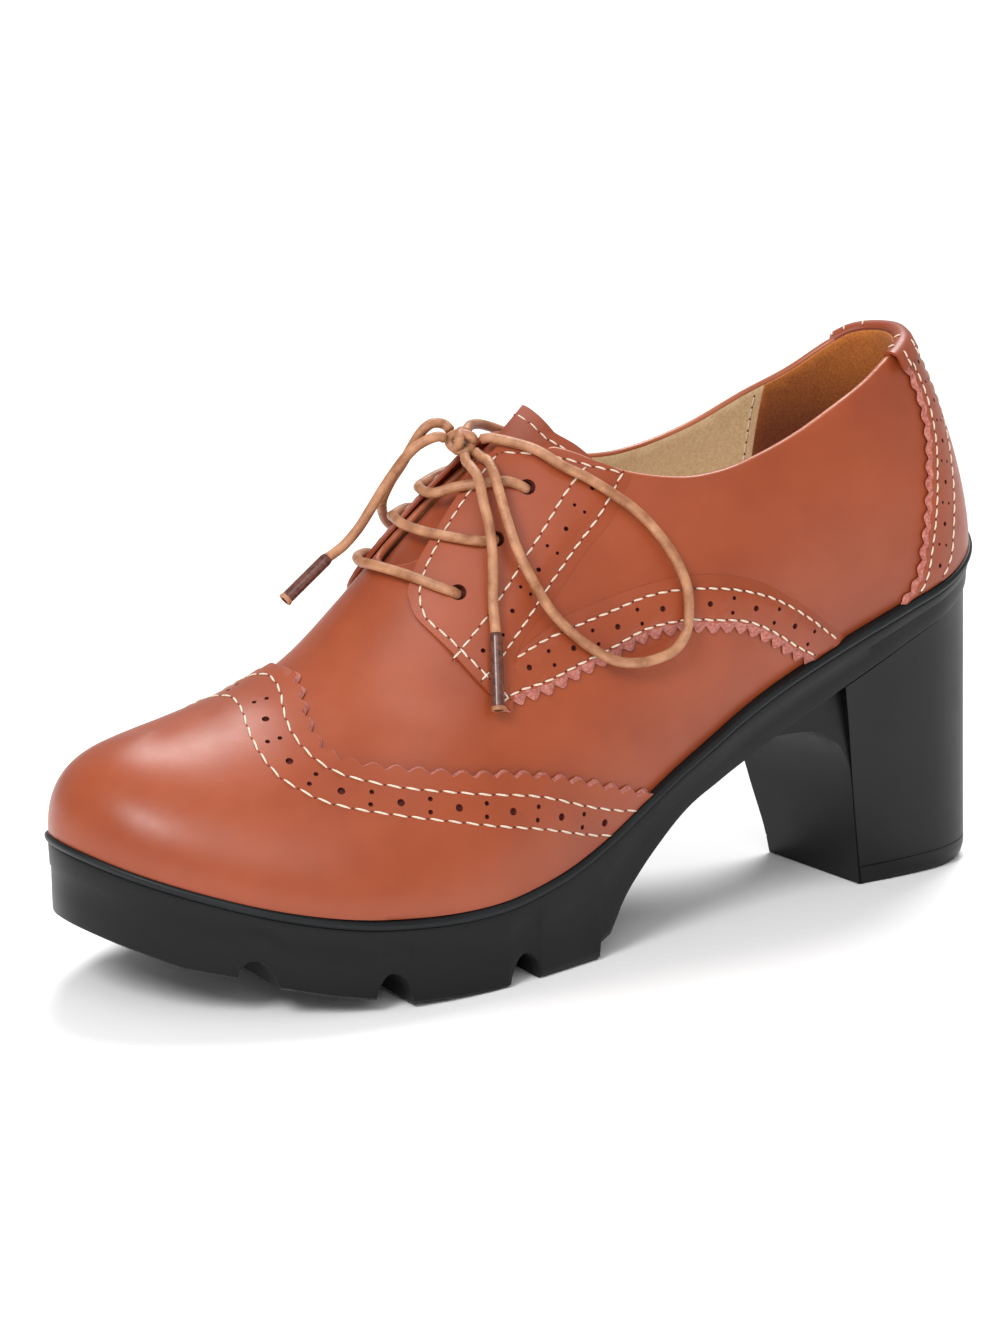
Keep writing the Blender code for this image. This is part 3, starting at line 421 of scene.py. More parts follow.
def make_aglet(name, ends):
    line, _ = through(np.array(ends) * MM, 0.0005)
    count = len(line)
    radii = np.full(count, AGLET / 2)
    radii[:2], radii[-3:] = (AGLET * 0.43, AGLET * 0.48), (AGLET * 0.50, AGLET * 0.56, AGLET * 0.54)
    # The aglet's open end: a rim of cut lace, and a bore painted dark as shade.
    return tube(name, line, radii, AGLET_PLASTIC, 20, (AGLET_RIM, PAINTED_HOLE_SHADE))


knot = make_knot()
aglet_front = make_aglet("aglet_front_end", AGLET_FRONT)
aglet_side = make_aglet("aglet_side_end", AGLET_SIDE)
dress(knot, "lace", "lace_knot")
dress(aglet_front, "aglet", "aglet_front")
dress(aglet_side, "aglet", "aglet_side")


# %% Loops and ends as cords
def free_lace(name, points, node, far_end):
    """A cord that starts in the knot, and ends there too where it is a loop, whose far end is an object."""
    points = [at_knot(points[0]), *points, *[at_knot(points[-1])] * (far_end == "object")]
    line, length = through(np.array(points) * MM, 0.0008)
    piece = tube(name, line, LACE / 2, LACE_COTTON)
    dress(piece, "lace", node)
    print(name, "is", round(length / MM, 1), "mm long")


free_lace("lateral_loop", LOOP_LATERAL, "lace_loop_lateral", "object")
free_lace("medial_loop", LOOP_MEDIAL, "lace_loop_medial", "object")
free_lace("front_end", END_FRONT, "lace_end_front", "fitting")
free_lace("side_end", END_SIDE, "lace_end_side", "fitting")

# %% [markdown]
# All the leather is shaped over one last, so one function gives its surface. The last is a row of sections
# from toe to heel. Each section is a curve from the feather line, where the upper meets the sole, up to the
# ridge along the top. A point on the leather is given by its section and its share of the way up.

# %% The last
LENGTH = 0.2406
BALL_WIDTH = 0.0890
BALL_SEAT = 0.0205
HEEL_SEAT = 0.0850
INSTEP_RISE = 0.0940
UPPER_WALL = 0.0018
OVERLAY = 0.0012
OVERLAY_GAP = 0.0004
GAP = 0.0003
SEAT_ROWS = [
    (-0.510, 0.270), (-0.477, 0.217), (-0.419, 0.141), (-0.356, 0.074), (-0.294, 0.029),
    (-0.231, 0.005), (-0.177, -0.003), (-0.128, 0.005), (-0.086, 0.032), (-0.044, 0.073),
    (-0.003, 0.136), (0.039, 0.222), (0.080, 0.312), (0.122, 0.398), (0.163, 0.485),
    (0.205, 0.563), (0.247, 0.631), (0.288, 0.693), (0.330, 0.752), (0.371, 0.805),
    (0.413, 0.851), (0.454, 0.904), (0.488, 0.961), (0.514, 1.003),
]
LAST_ROWS = np.array([
    (-0.500, 0.047, 0.047, -0.406, 0.063, 0.304, 0.10, 0.133, 0.006, 0.174),
    (-0.490, -0.062, 0.156, -0.404, 0.063, 0.306, 0.11, 0.133, 0.011, 0.185),
    (-0.461, -0.180, 0.263, -0.394, 0.063, 0.316, 0.13, 0.133, 0.017, 0.197),
    (-0.414, -0.286, 0.351, -0.375, 0.063, 0.341, 0.19, 0.138, 0.022, 0.213),
    (-0.356, -0.375, 0.417, -0.340, 0.063, 0.387, 0.30, 0.144, 0.028, 0.225),
    (-0.290, -0.440, 0.457, -0.294, 0.063, 0.447, 0.46, 0.160, 0.028, 0.230),
    (-0.223, -0.462, 0.462, -0.244, 0.058, 0.533, 0.74, 0.181, 0.022, 0.236),
    (-0.157, -0.457, 0.440, -0.194, 0.052, 0.660, 0.98, 0.223, 0.017, 0.236),
    (-0.090, -0.429, 0.395, -0.144, 0.047, 0.793, 1.00, 0.277, 0.017, 0.230),
    (-0.024, -0.389, 0.344, -0.094, 0.041, 0.898, 0.86, 0.309, 0.022, 0.219),
    (0.047, -0.353, 0.314, -0.036, 0.030, 0.973, 0.62, 0.340, 0.045, 0.208),
    (0.122, -0.331, 0.298, 0.051, 0.019, 0.962, 0.40, 0.362, 0.067, 0.213),
    (0.205, -0.317, 0.294, 0.151, 0.007, 0.903, 0.31, 0.351, 0.084, 0.236),
    (0.288, -0.315, 0.296, 0.234, 0.002, 0.863, 0.29, 0.298, 0.067, 0.236),
    (0.363, -0.310, 0.290, 0.292, 0.000, 0.845, 0.29, 0.234, 0.034, 0.225),
    (0.428, -0.275, 0.258, 0.325, 0.000, 0.839, 0.30, 0.223, 0.017, 0.202),
    (0.475, -0.177, 0.162, 0.342, 0.000, 0.837, 0.30, 0.213, 0.002, 0.180),
    (0.500, 0.000, 0.000, 0.346, 0.000, 0.836, 0.30, 0.213, -0.012, 0.169),
])
FEATHER_X, OUTER, INNER, RIDGE_X, RIDGE_Y, RIDGE_RISE, SLOPE, LOW_UP, LOW_OUT, HIGH = range(10)
END = len(LAST_ROWS) - 1
LATERAL, MEDIAL = SIDES = (-1, 1)


def last_row(t):
    """The last's values at section t."""
    return spline(LAST_ROWS, t, LAST_ROWS[1], LAST_ROWS[-2])


def smooth_table(rows, x):
    """Value at x on a smooth curve through the (x, value) rows."""
    xs, ys = np.array(rows, float).T
    x = np.clip(x, xs[0], xs[-1])
    slopes = np.gradient(ys, xs)
    i = np.clip(np.searchsorted(xs, x, side="right") - 1, 0, len(xs) - 2)
    h = xs[i + 1] - xs[i]
    f = (x - xs[i]) / h
    return ((2 * f**3 - 3 * f**2 + 1) * ys[i] + (f**3 - 2 * f**2 + f) * slopes[i] * h
            + (3 * f**2 - 2 * f**3) * ys[i + 1] + (f**3 - f**2) * slopes[i + 1] * h)


def seat(x):
    """Height of the sole's top at x."""
    return BALL_SEAT + (HEEL_SEAT - BALL_SEAT) * smooth_table(SEAT_ROWS, np.asarray(x) / LENGTH)


def feather(side, t):
    """Point of the feather line, where the upper meets the sole."""
    own, other = (OUTER, INNER) if side == LATERAL else (INNER, OUTER)
    plan = LAST_ROWS[:, [FEATHER_X, own]]
    past = LAST_ROWS[:, [FEATHER_X, other]]
    share = spline(plan, t, past[1], past[-2])
    x = share[..., 0] * LENGTH
    return np.stack([x, share[..., 1] * BALL_WIDTH, seat(x)], -1)


DENSE_T = np.linspace(0, END, 1500)
DENSE_X = feather(LATERAL, DENSE_T)[:, 0]


def station(along):
    """Section number of the feather point at this share of LENGTH."""
    return np.interp(np.asarray(along) * LENGTH, DENSE_X, DENSE_T)


def skin_point(side, t, s):
    """Outside of the last: section t, share s of the way from the feather line to the ridge."""
    t, s = np.asarray(t, float), np.asarray(s, float)[..., None]
    row = last_row(t)
    low = feather(side, t)
    ridge_x = row[..., RIDGE_X] * LENGTH
    top = np.stack([ridge_x, row[..., RIDGE_Y] * BALL_WIDTH,
                    seat(ridge_x) + row[..., RIDGE_RISE] * INSTEP_RISE], -1)
    out = unit(low[..., :2] - top[..., :2])
    lift = np.concatenate([out * row[..., [LOW_OUT]] * BALL_WIDTH, row[..., [LOW_UP]] * INSTEP_RISE], -1)
    reach = row[..., [HIGH]] * BALL_WIDTH * np.concatenate([out, row[..., [SLOPE]] * out[..., :1]], -1)
    return ((1 - s)**3 * low + 3 * (1 - s)**2 * s * (low + lift)
            + 3 * (1 - s) * s**2 * (top + reach) + s**3 * top)


def skin_normal(side, t, s):
    """Unit normal that points out of the last."""
    step = 2e-3
    t, s = np.asarray(t, float), np.asarray(s, float)
    along = skin_point(side, np.clip(t + step, 0, END), s) - skin_point(side, np.clip(t - step, 0, END), s)
    up = skin_point(side, t, np.clip(s + step, 0, 1)) - skin_point(side, t, np.clip(s - step, 0, 1))
    normal = unit(np.cross(along, up) * -side)
    slope = last_row(t)[..., SLOPE]
    ridge = unit(np.stack([-slope, 0 * slope, 1 + 0 * slope], -1))
    return np.where((s > 0.996)[..., None], ridge, normal)


# %% [markdown]
# Leather that has been walked in, or just lasted, isn't perfectly even. A few soft troughs and ridges across
# the vamp and behind the facings are listed, each as a line with a depth and a width.

# %% Creases of the leather
CREASES = [
    # side, along, share, along, share, depth in mm (negative is a ridge), half width in mm
    (LATERAL, -0.215, 0.640, -0.130, 0.430, 0.25, 3.0),
    (LATERAL, -0.185, 0.620, -0.115, 0.400, -0.15, 3.5),
    (MEDIAL, -0.205, 0.620, -0.125, 0.440, 0.25, 3.0),
    (LATERAL, 0.130, 0.420, 0.230, 0.330, 0.30, 5.0),
    (MEDIAL, 0.120, 0.420, 0.230, 0.330, 0.30, 5.0),
]


def relief(side, t, s):
    """How far the leather stands out of the last's even surface."""
    points = skin_point(side, t, s)
    height = np.zeros(points.shape[:-1])
    for crease_side, along_a, share_a, along_b, share_b, depth, half in CREASES:
        if crease_side != side:
            continue
        a = skin_point(side, station(along_a), share_a)
        b = skin_point(side, station(along_b), share_b)
        f = np.clip(((points - a) @ (b - a)) / ((b - a) @ (b - a)), 0, 1)
        distance = np.linalg.norm(points - (a + f[..., None] * (b - a)), axis=-1)
        height -= depth * MM * np.exp(-(distance / (half * MM))**2) * np.sin(np.pi * np.clip(f, 0.05, 0.95))
    return height


def on_leather(side, t, s, offset):
    """Point at this offset from the last, with the creases; on the feather line it meets the sole."""
    t, s = np.broadcast_arrays(np.asarray(t, float), np.asarray(s, float))
    return skin_point(side, t, s) + skin_normal(side, t, s) * (offset + relief(side, t, s))[..., None]


# %% [markdown]
# A shoemaker cuts each panel flat, pinks its edge with a toothed punch, and punches the holes. The same is
# done here: a panel is an outline and some holes in the flat plane of section and share. A triangulation
# fills the outline and leaves the holes open, and each corner is then laid on the last, on both faces.

# %% Steps along the leather
T_TO_MM, S_TO_MM = 14.0, 90.0       # rough size of one section and of a whole share, for even triangles


def slopes_of(side, t, s):
    """How the surface point moves with the section and with the share."""
    step = 1e-3
    t, s = np.asarray(t, float), np.asarray(s, float)
    high, low = np.clip(t + step, 0, END), np.clip(t - step, 0, END)
    by_t = (skin_point(side, high, s) - skin_point(side, low, s)) / (high - low)[..., None]
    up, down = np.clip(s + step, 0, 1), np.clip(s - step, 0, 1)
    by_s = (skin_point(side, t, up) - skin_point(side, t, down)) / (up - down)[..., None]
    return np.stack([by_t, by_s], -1)


def shift(side, t, s, move):
    """Section and share after a small move along the leather."""
    change = (np.linalg.pinv(slopes_of(side, t, s)) @ np.asarray(move)[..., None])[..., 0]
    return np.clip(t + change[..., 0], 0, END), np.clip(s + change[..., 1], 0, 1)


def spaced(side, rows, step):
    """Points each step apart, in metres, on a smooth line through (along, share) rows."""
    rows = np.array([(station(a), s) for a, s in rows])
    line = smooth_line(rows, 60 * len(rows))
    line[:, 1] = np.clip(line[:, 1], 0, 1)
    run = run_along(skin_point(side, *line.T))
    return evenly(line, run, max(3, int(round(run[-1] / step)) + 1)).T


def left_of(side, t, s):
    """Unit vectors to the left of a line on the leather."""
    ways = unit(np.gradient(skin_point(side, t, s), axis=0))
    return unit(np.cross(skin_normal(side, t, s), ways))


def pinked(side, rows, out, pitch, depth, flare):
    """A toothed line, and how far its lower edge stands outside the upper one, as vectors.

    out is 1 where the teeth point to the left. depth is the teeth's height on the upper edge. flare is the
    lower edge's distance at the notches and at the tips."""
    t, s = spaced(side, rows, pitch * MM / 6)
    usable = (len(t) - 1) // 6 * 6
    t, s = t[:usable + 1], s[:usable + 1]
    left = left_of(side, t, s)
    tooth = np.array([0.0, 0.42, 0.86, 1.0, 0.86, 0.42])
    tooth = np.append(np.tile(tooth, usable // 6), 0.0)
    moved_t, moved_s = shift(side, t, s, left * (out * (tooth - 0.5) * depth * MM)[:, None])
    moved_t[0], moved_s[0], moved_t[-1], moved_s[-1] = t[0], s[0], t[-1], s[-1]
    vectors = left * (out * (flare[0] + (flare[1] - flare[0]) * tooth) * MM)[:, None]
    return moved_t, moved_s, vectors


def round_hole(side, t, s, radius, corners=12):
    """Section and share of a circle's corners on the leather."""
    slopes = slopes_of(side, t, s)
    first = unit(slopes[:, 0])
    ring = radius * circle(first, np.cross(skin_normal(side, t, s), first), corners)
    change = ring @ np.linalg.pinv(slopes).T
    return np.stack([t + change[:, 0], s + change[:, 1]], -1)


# %% Cutting and laying a panel
def inside_loops(points, loops):
    """True for each point inside an odd number of the closed loops."""
    hit = np.zeros(len(points), bool)
    for loop in loops:
        a, b = loop, np.roll(loop, -1, axis=0)
        for start in range(0, len(a), 64):
            p, q = a[None, start:start + 64], b[None, start:start + 64]
            x, y = points[:, None, 0], points[:, None, 1]
            crosses = (p[..., 1] > y) != (q[..., 1] > y)
            with np.errstate(divide="ignore", invalid="ignore"):
                at = p[..., 0] + (y - p[..., 1]) * (q[..., 0] - p[..., 0]) / (q[..., 1] - p[..., 1])
            hit ^= (crosses & (x < at)).sum(axis=1) % 2 == 1
    return hit


SLIVER = 0.08     # twice the area in square millimetres of the thinnest triangle to keep along an edge


def cut_flat(outline, holes, spacing):
    """Triangles inside the outline and outside the holes; all in (section, share)."""
    scale = np.array([T_TO_MM, S_TO_MM])
    loops = [np.asarray(loop) * scale for loop in [outline, *holes]]
    edge_points = np.vstack(loops)
    low, high = loops[0].min(axis=0), loops[0].max(axis=0)
    xs = np.arange(low[0] + spacing / 2, high[0], spacing)
    ys = np.arange(low[1] + spacing / 2, high[1], spacing)
    grid = np.stack(np.meshgrid(xs, ys, indexing="ij"), -1)
    grid[:, ::2, 0] += spacing / 2
    grid = grid.reshape(-1, 2)
    grid = grid[inside_loops(grid, loops)]
    if len(grid):
        near = np.full(len(grid), np.inf)
        for start in range(0, len(edge_points), 128):
            part = edge_points[None, start:start + 128]
            near = np.minimum(near, np.linalg.norm(grid[:, None] - part, axis=-1).min(axis=1))
        grid = grid[near > spacing * 0.45]
    verts, edges, is_hole = [], [], []
    for number, loop in enumerate(loops):
        first = len(verts)
        verts += [Vector(p) for p in loop]
        is_hole += [number > 0] * len(loop)
        edges += [(first + k, first + (k + 1) % len(loop)) for k in range(len(loop))]
    verts += [Vector(p) for p in grid]
    is_hole += [False] * len(grid)
    found, _, triangles, origins, _, _ = delaunay_2d_cdt(verts, edges, [], 0, 1e-5)
    found = np.array([tuple(v) for v in found])
    triangles = np.array(triangles)
    a, b, c = (found[triangles[:, k]] for k in range(3))
    area = (b[:, 0] - a[:, 0]) * (c[:, 1] - a[:, 1]) - (b[:, 1] - a[:, 1]) * (c[:, 0] - a[:, 0])
    triangles = np.where((area < 0)[:, None], triangles[:, ::-1], triangles)
    on_edge = np.array([len(origin) > 0 and min(origin) < len(edge_points) for origin in origins])
    sliver = on_edge[triangles].all(axis=1) & (np.abs(area) < SLIVER)
    triangles = triangles[~sliver & inside_loops(found[triangles].mean(axis=1), loops)]
    hole_mark = np.array([any(is_hole[o] for o in origin) for origin in origins])
    origin = np.array([min(origin) if origin else -1 for origin in origins])
    return found / scale, triangles, hole_mark, origin


EDGE_ROUND = ((0.25, 0.16), (0.75, 0.16))     # share of the way down a cut edge, and how far it bulges in mm


def panel(name, patches, low, high, looks, spacing=2.0, round_edge=EDGE_ROUND):
    """A leather panel between two offsets of the last. A patch is (side, outline, holes, flares).

    low and high are numbers, or functions of side, section and share. looks are the outside, the inside,
    the cut edge and the hole's wall. flares are vectors that move the outline's lower edge."""
    number, base, out, marks, seated, highs, lows, flare = {}, [], [], [], [], [], [], []
    faces = []
    for side, outline, holes, flares in patches:
        flat, triangles, hole_mark, origin = cut_flat(outline, holes, spacing)
        t, s = flat[:, 0], np.clip(flat[:, 1], 0, 1)
        places, normals, raised = skin_point(side, t, s), skin_normal(side, t, s), relief(side, t, s)
        top = high(side, t, s) if callable(high) else np.full(len(t), high)
        under = low(side, t, s) if callable(low) else np.full(len(t), low)
        ids = np.empty(len(t), int)
        for k, place in enumerate(places):
            key = tuple(np.round(place * 2e6).astype(int))
            if key not in number:
                number[key] = len(base)
                base.append(place)
                out.append(np.zeros(3))
                marks.append(hole_mark[k])
                seated.append(s[k] < 1e-5)
                highs.append(top[k] + raised[k])
                lows.append(under[k] + raised[k])
                flare.append(flares[origin[k]] if 0 <= origin[k] < len(flares) else np.zeros(3))
            ids[k] = number[key]
            out[ids[k]] = out[ids[k]] + normals[k]
        turned = triangles if side == MEDIAL else triangles[:, ::-1]
        a, b, c = (places[turned[:, k]] for k in range(3))
        facing = np.einsum("ij,ij->i", np.cross(b - a, c - a), normals[turned[:, 0]])
        if facing.sum() < 0:
            turned = turned[:, ::-1]
        faces += [list(ids[f]) for f in turned if len(set(ids[f])) == 3]
    base, out, flare, seated = np.array(base), np.array(out), np.array(flare), np.array(seated)
    out = unit(out)
    sheets = [base + out * np.array(offset)[:, None] for offset in (highs, lows)]
    sheets[1] += flare
    for sheet in sheets:
        sheet[seated, 2] = seat(sheet[seated, 0]) + GAP
    count = len(base)
    used = set()
    for a, b, c in faces:
        used.update(((a, b), (b, c), (c, a)))
    rim = [(a, b) for a, b in used if (b, a) not in used]
    away = np.zeros((count, 3))
    for a, b in rim:
        outward = unit(np.cross(base[b] - base[a], out[a]))
        away[a] += outward
        away[b] += outward
    away = unit(away)
    away[seated] = 0
    rims = sorted({v for edge in rim for v in edge})
    levels = [{v: v for v in rims}]
    points = list(np.vstack(sheets))
    for share, bulge in round_edge:
        row = {}
        for v in rims:
            row[v] = len(points)
            swell = 0 if marks[v] or np.any(flare[v]) else bulge
            points.append(sheets[0][v] * (1 - share) + sheets[1][v] * share + away[v] * swell * MM)
        levels.append(row)
    levels.append({v: v + count for v in rims})
    all_faces = faces + [[v + count for v in f[::-1]] for f in faces]
    indices = [0] * len(faces) + [1] * len(faces)
    for a, b in rim:
        for upper_row, lower_row in zip(levels, levels[1:]):
            all_faces.append([upper_row[b], upper_row[a], lower_row[a], lower_row[b]])
            indices.append(3 if marks[a] and marks[b] else 2)
    return new_object(name, points, all_faces, looks, indices, 1.0)


# %% [markdown]
# Each hole is closed from below by a small dark disc. The disc is painted shade: it stands for the deep
# shadow in the hole, where the leather under the panel would show.

# %% Rows of holes and their discs of painted shade
def hole_row(side, rows, pitch, big, small, spread=1.5):
    """Large holes this pitch apart, with a pair of small ones half-way between them."""
    t, s = spaced(side, rows, pitch * MM / 2)
    left = left_of(side, t, s)
    made = []
    for k in range(1, len(t) - 1):
        if k % 2:
            made.append((t[k], s[k], big / 2 * MM))
        else:
            for way in (spread, -spread):
                a, b = shift(side, t[k], s[k], left[k] * way * MM)
                made.append((float(a), float(b), small / 2 * MM))
    return made


def shade_discs(name, holes, offset, slot):
    """Discs of painted shade on both sides, a little wider than the holes, at this offset."""
    points, faces = [], []
    for side in SIDES:
        for t, s, radius in holes:
            ring = round_hole(side, t, s, radius * 1.15, 12)
            places = on_leather(side, ring[:, 0], ring[:, 1], offset)
            order = list(range(len(points), len(points) + len(places)))
            points += list(places)
            faces.append(order if side == LATERAL else order[::-1])
    dress(new_object(name, points, faces, [PAINTED_HOLE_SHADE]), slot)

# %% [markdown]
# The seams are sewn with thick thread, about three stitches to the centimetre. Each stitch is its own small
# slug of thread, a little aslant as a lock stitch is, and at both ends a small dark disc of painted shade
# stands for the needle hole.

# %% Stitches
STITCH_WIDTH, STITCH_HEIGHT, NEEDLE = 0.52, 0.42, 0.28


def slug():
    """A unit stitch: long in x, its ends pointed."""
    points = [(-1, 0, 0)]
    for x, r in ((-0.85, 0.62), (-0.45, 0.95), (0.0, 1.0), (0.45, 0.95), (0.85, 0.62)):
        points += [(x, r * math.cos(math.pi * k / 3), r * math.sin(math.pi * k / 3)) for k in range(6)]
    points.append((1, 0, 0))
    faces = [[0, 1 + (k + 1) % 6, 1 + k] for k in range(6)]
    faces += [[1 + v for v in face] for face in ring_faces(5, 6)]
    faces += [[31, 25 + k, 25 + (k + 1) % 6] for k in range(6)]
    return np.array(points), faces


SLUG_POINTS, SLUG_FACES = slug()


def add_stitch(points, faces, place, way, up, length):
    """One slug of thread of this length at a place, bowed up in its middle."""
    across = np.cross(up, way)
    half = np.array([length / 2, STITCH_WIDTH / 2, STITCH_HEIGHT / 2]) * MM
    body = (SLUG_POINTS[:, :1] * half[0] * way + SLUG_POINTS[:, 1:2] * half[1] * across
            + SLUG_POINTS[:, 2:] * half[2] * up)
    bend = (1 - SLUG_POINTS[:, :1]**2) * 0.14 * MM * up
    faces += [[len(points) + v for v in face] for face in SLUG_FACES]
    points += list(place + body + bend)


def sew(name, lines_of, offset, slot, pitch, slant=0.10):
    """Stitches on both sides along the lines that lines_of gives. offset is a height or a function."""
    points, faces, needle_shade_dots, needle_shade_faces = [], [], [], []
    for side, rows in [(side, rows) for side in SIDES for rows in lines_of(side)]:
        t, s = spaced(side, rows, pitch * MM)
        middle = (t[1:] + t[:-1]) / 2, (s[1:] + s[:-1]) / 2
        places, ends = (on_leather(side, *at, offset(side, *at) if callable(offset) else offset)
                        for at in (middle, (t, s)))
        for place, way, up in zip(places, unit(np.diff(ends, axis=0)), skin_normal(side, *middle)):
            add_stitch(points, faces, place, unit(way + side * slant * np.cross(up, way)), up, pitch * 0.80)
        # Needle holes: a small dark disc of painted shade at each end of a stitch.
        for place, up in zip(ends, skin_normal(side, t, s)):
            first = unit(np.cross(up, (0.2, 0.3, 0.9)))
            needle_shade_faces.append(list(range(len(needle_shade_dots), len(needle_shade_dots) + 7)))
            needle_shade_dots += list(place + (circle(first, np.cross(up, first), 7) * NEEDLE + 0.015 * up) * MM)
    count = len(points)
    dress(new_object(name, points + needle_shade_dots, faces + [[v + count for v in f] for f in needle_shade_faces],
                     [THREAD, PAINTED_HOLE_SHADE], [0] * len(faces) + [1] * len(needle_shade_faces)), slot)


# %% [markdown]
# The upper is the vamp and the quarters, which are lasted as one skin. Its outline follows the collar and the
# throat. The collar drops behind the facings, and is highest at the back, where it bows out over the heel.

# %% Collar and throat
COLLAR_OUTER = [
    (-0.128, 0.968), (-0.069, 1.010), (-0.049, 0.997), (-0.024, 0.963), (-0.003, 0.923),
    (0.018, 0.877), (0.043, 0.809), (0.068, 0.749), (0.097, 0.693), (0.134, 0.636),
    (0.163, 0.605), (0.197, 0.587), (0.242, 0.577), (0.292, 0.579), (0.338, 0.585),
    (0.375, 0.599), (0.407, 0.608), (0.418, 0.610), (0.430, 0.609), (0.454, 0.602),
]
COLLAR_INNER = [
    (-0.128, 0.968), (-0.069, 1.010), (-0.049, 0.997), (-0.024, 0.963), (-0.003, 0.918),
    (0.018, 0.868), (0.043, 0.800), (0.068, 0.738), (0.097, 0.681), (0.122, 0.637),
    (0.155, 0.587), (0.184, 0.556), (0.246, 0.525), (0.305, 0.535), (0.363, 0.556),
    (0.392, 0.590), (0.407, 0.608), (0.418, 0.610), (0.430, 0.609), (0.454, 0.602),
]
THROAT_FRONT = -0.0390
THROAT_BACK = 0.0100
THROAT_OUTER = 0.0100
THROAT_INNER = 0.0075


def top_edge(side, t):
    """Share of each section that the upper keeps, below its collar and beside its throat."""
    shares = np.linspace(0.3, 1, 1401)
    grid_t, grid_s = np.meshgrid(np.atleast_1d(t), shares, indexing="ij")
    p = skin_point(side, grid_t, grid_s)
    rows = COLLAR_OUTER if side == LATERAL else COLLAR_INNER
    collar = seat(p[..., 0]) + INSTEP_RISE * smooth_table(rows, p[..., 0] / LENGTH)
    over = (p[..., 2] > collar) & (p[..., 0] > rows[0][0] * LENGTH)
    ridge = last_row(grid_t)[..., RIDGE_Y] * BALL_WIDTH
    half = THROAT_OUTER if side == LATERAL else THROAT_INNER
    corner = np.clip((p[..., 0] - THROAT_FRONT) / half, 0, 1)
    beside = np.abs(p[..., 1] - ridge) < half * np.sqrt(1 - (1 - corner)**2)
    between = (p[..., 0] > THROAT_FRONT) & (p[..., 0] < THROAT_BACK)
    inside = over | (beside & between)
    return np.where(inside.any(axis=1), shares[np.argmax(inside, axis=1)], 1.0)


def patch(side, holes, *lines):
    """A panel's part on one side: lines of (section, share), a pinked one with its flare, end to end."""
    outline = np.vstack([np.stack(np.broadcast_arrays(*line[:2]), -1) for line in lines])
    flares = np.vstack([line[2] if len(line) > 2 else np.zeros((np.size(line[0]), 3)) for line in lines])
    cut = [round_hole(side, t, s, radius, 16 if radius > 0.6 * MM else 10) for t, s, radius in holes]
    return side, outline, cut, flares


# %% The upper
EYELETS = [(-0.092, 0.690), (-0.036, 0.710), (0.016, 0.748)]
EYELET_HOLES = [(float(station(a)), s, 1.90 * MM) for a, s in EYELETS]


def upper_patch(side):
    feather_t = np.linspace(0, END, 150)
    back = top_edge(side, np.array([END]))[0]
    edge_t = np.linspace(END, 0, 500)
    edge_s = top_edge(side, edge_t)
    first_open = np.argmax(edge_s >= 1)
    ridge_t = np.linspace(edge_t[first_open], 0, 60)
    return patch(side, EYELET_HOLES, (feather_t, 0 * feather_t),
                 (np.full(24, float(END)), np.linspace(0, back, 26)[1:-1]),
                 (edge_t[:first_open], edge_s[:first_open]), (ridge_t, 1 + 0 * ridge_t),
                 (np.zeros(38), np.linspace(1, 0, 40)[1:-1]))


ROLLED_RIM = ((0.08, 0.28), (0.25, 0.55), (0.5, 0.68), (0.75, 0.55), (0.92, 0.28))
upper = panel("vamp_and_quarters", [upper_patch(side) for side in SIDES], -UPPER_WALL, 0.0,
              [UPPER_LEATHER, PIGSKIN, RIM_PAINTED_HIGHLIGHT, PAINTED_HOLE_SHADE], 2.2, ROLLED_RIM)
dress(upper, "upper_leather", "upper")
shade_discs("eyelet_painted_shade", EYELET_HOLES, -0.0010, "upper_leather")
print("upper:", len(upper.data.polygons), "faces")

# %% [markdown]
# The heel is lined with a second layer, a piece of suede that keeps the foot from slipping. It starts at a
# stitched seam and reaches the rim. A folded tab of leather covers the rim at the very back.

# %% Heel lining and rim tab
SEAM = 0.0785     # x of the seam between the pigskin and the suede
SEAM_STITCH_AHEAD = 0.0022


def at_x(side, share, x):
    """Section number where the curve of this share reaches x."""
    t = np.linspace(0, END, 900)
    return np.interp(x, skin_point(side, t, np.full(900, share))[:, 0], t)


def rim_station(side, x):
    t = np.linspace(9.5, END, 300)
    return np.interp(x, skin_point(side, t, top_edge(side, t))[:, 0], t)


def suede_patch(side):
    first = rim_station(side, SEAM)
    rim_t = np.linspace(first, END, 60)
    rim_s = top_edge(side, rim_t) + 0.001
    front_s = np.linspace(0.035, rim_s[0], 30)[:-1]
    front_t = np.array([at_x(side, s, SEAM) for s in front_s])
    low_t = np.linspace(END, front_t[0], 30)[1:-1]
    return patch(side, [], (front_t, front_s), (rim_t, rim_s),
                 (np.full(28, float(END)), np.linspace(rim_s[-1], 0.035, 30)[1:-1]),
                 (np.concatenate([[END], low_t]), np.full(29, 0.035)))


suede = panel("suede_heel_lining", [suede_patch(side) for side in SIDES],
              -UPPER_WALL - 0.8 * MM, -UPPER_WALL - 0.1 * MM, [SUEDE] * 4, 2.4)
dress(suede, "upper_leather")


def seam_rows(side, ahead):
    shares = np.linspace(0.06, top_edge(side, np.array([rim_station(side, SEAM - ahead)]))[0] - 0.02, 12)
    return [(float(np.interp(at_x(side, s, SEAM - ahead), DENSE_T, DENSE_X)) / LENGTH, s) for s in shares]


sew("lining_seam_stitches", lambda side: [seam_rows(side, SEAM_STITCH_AHEAD)],
    -UPPER_WALL - 0.1 * MM, "upper_leather", 3.2, 0)

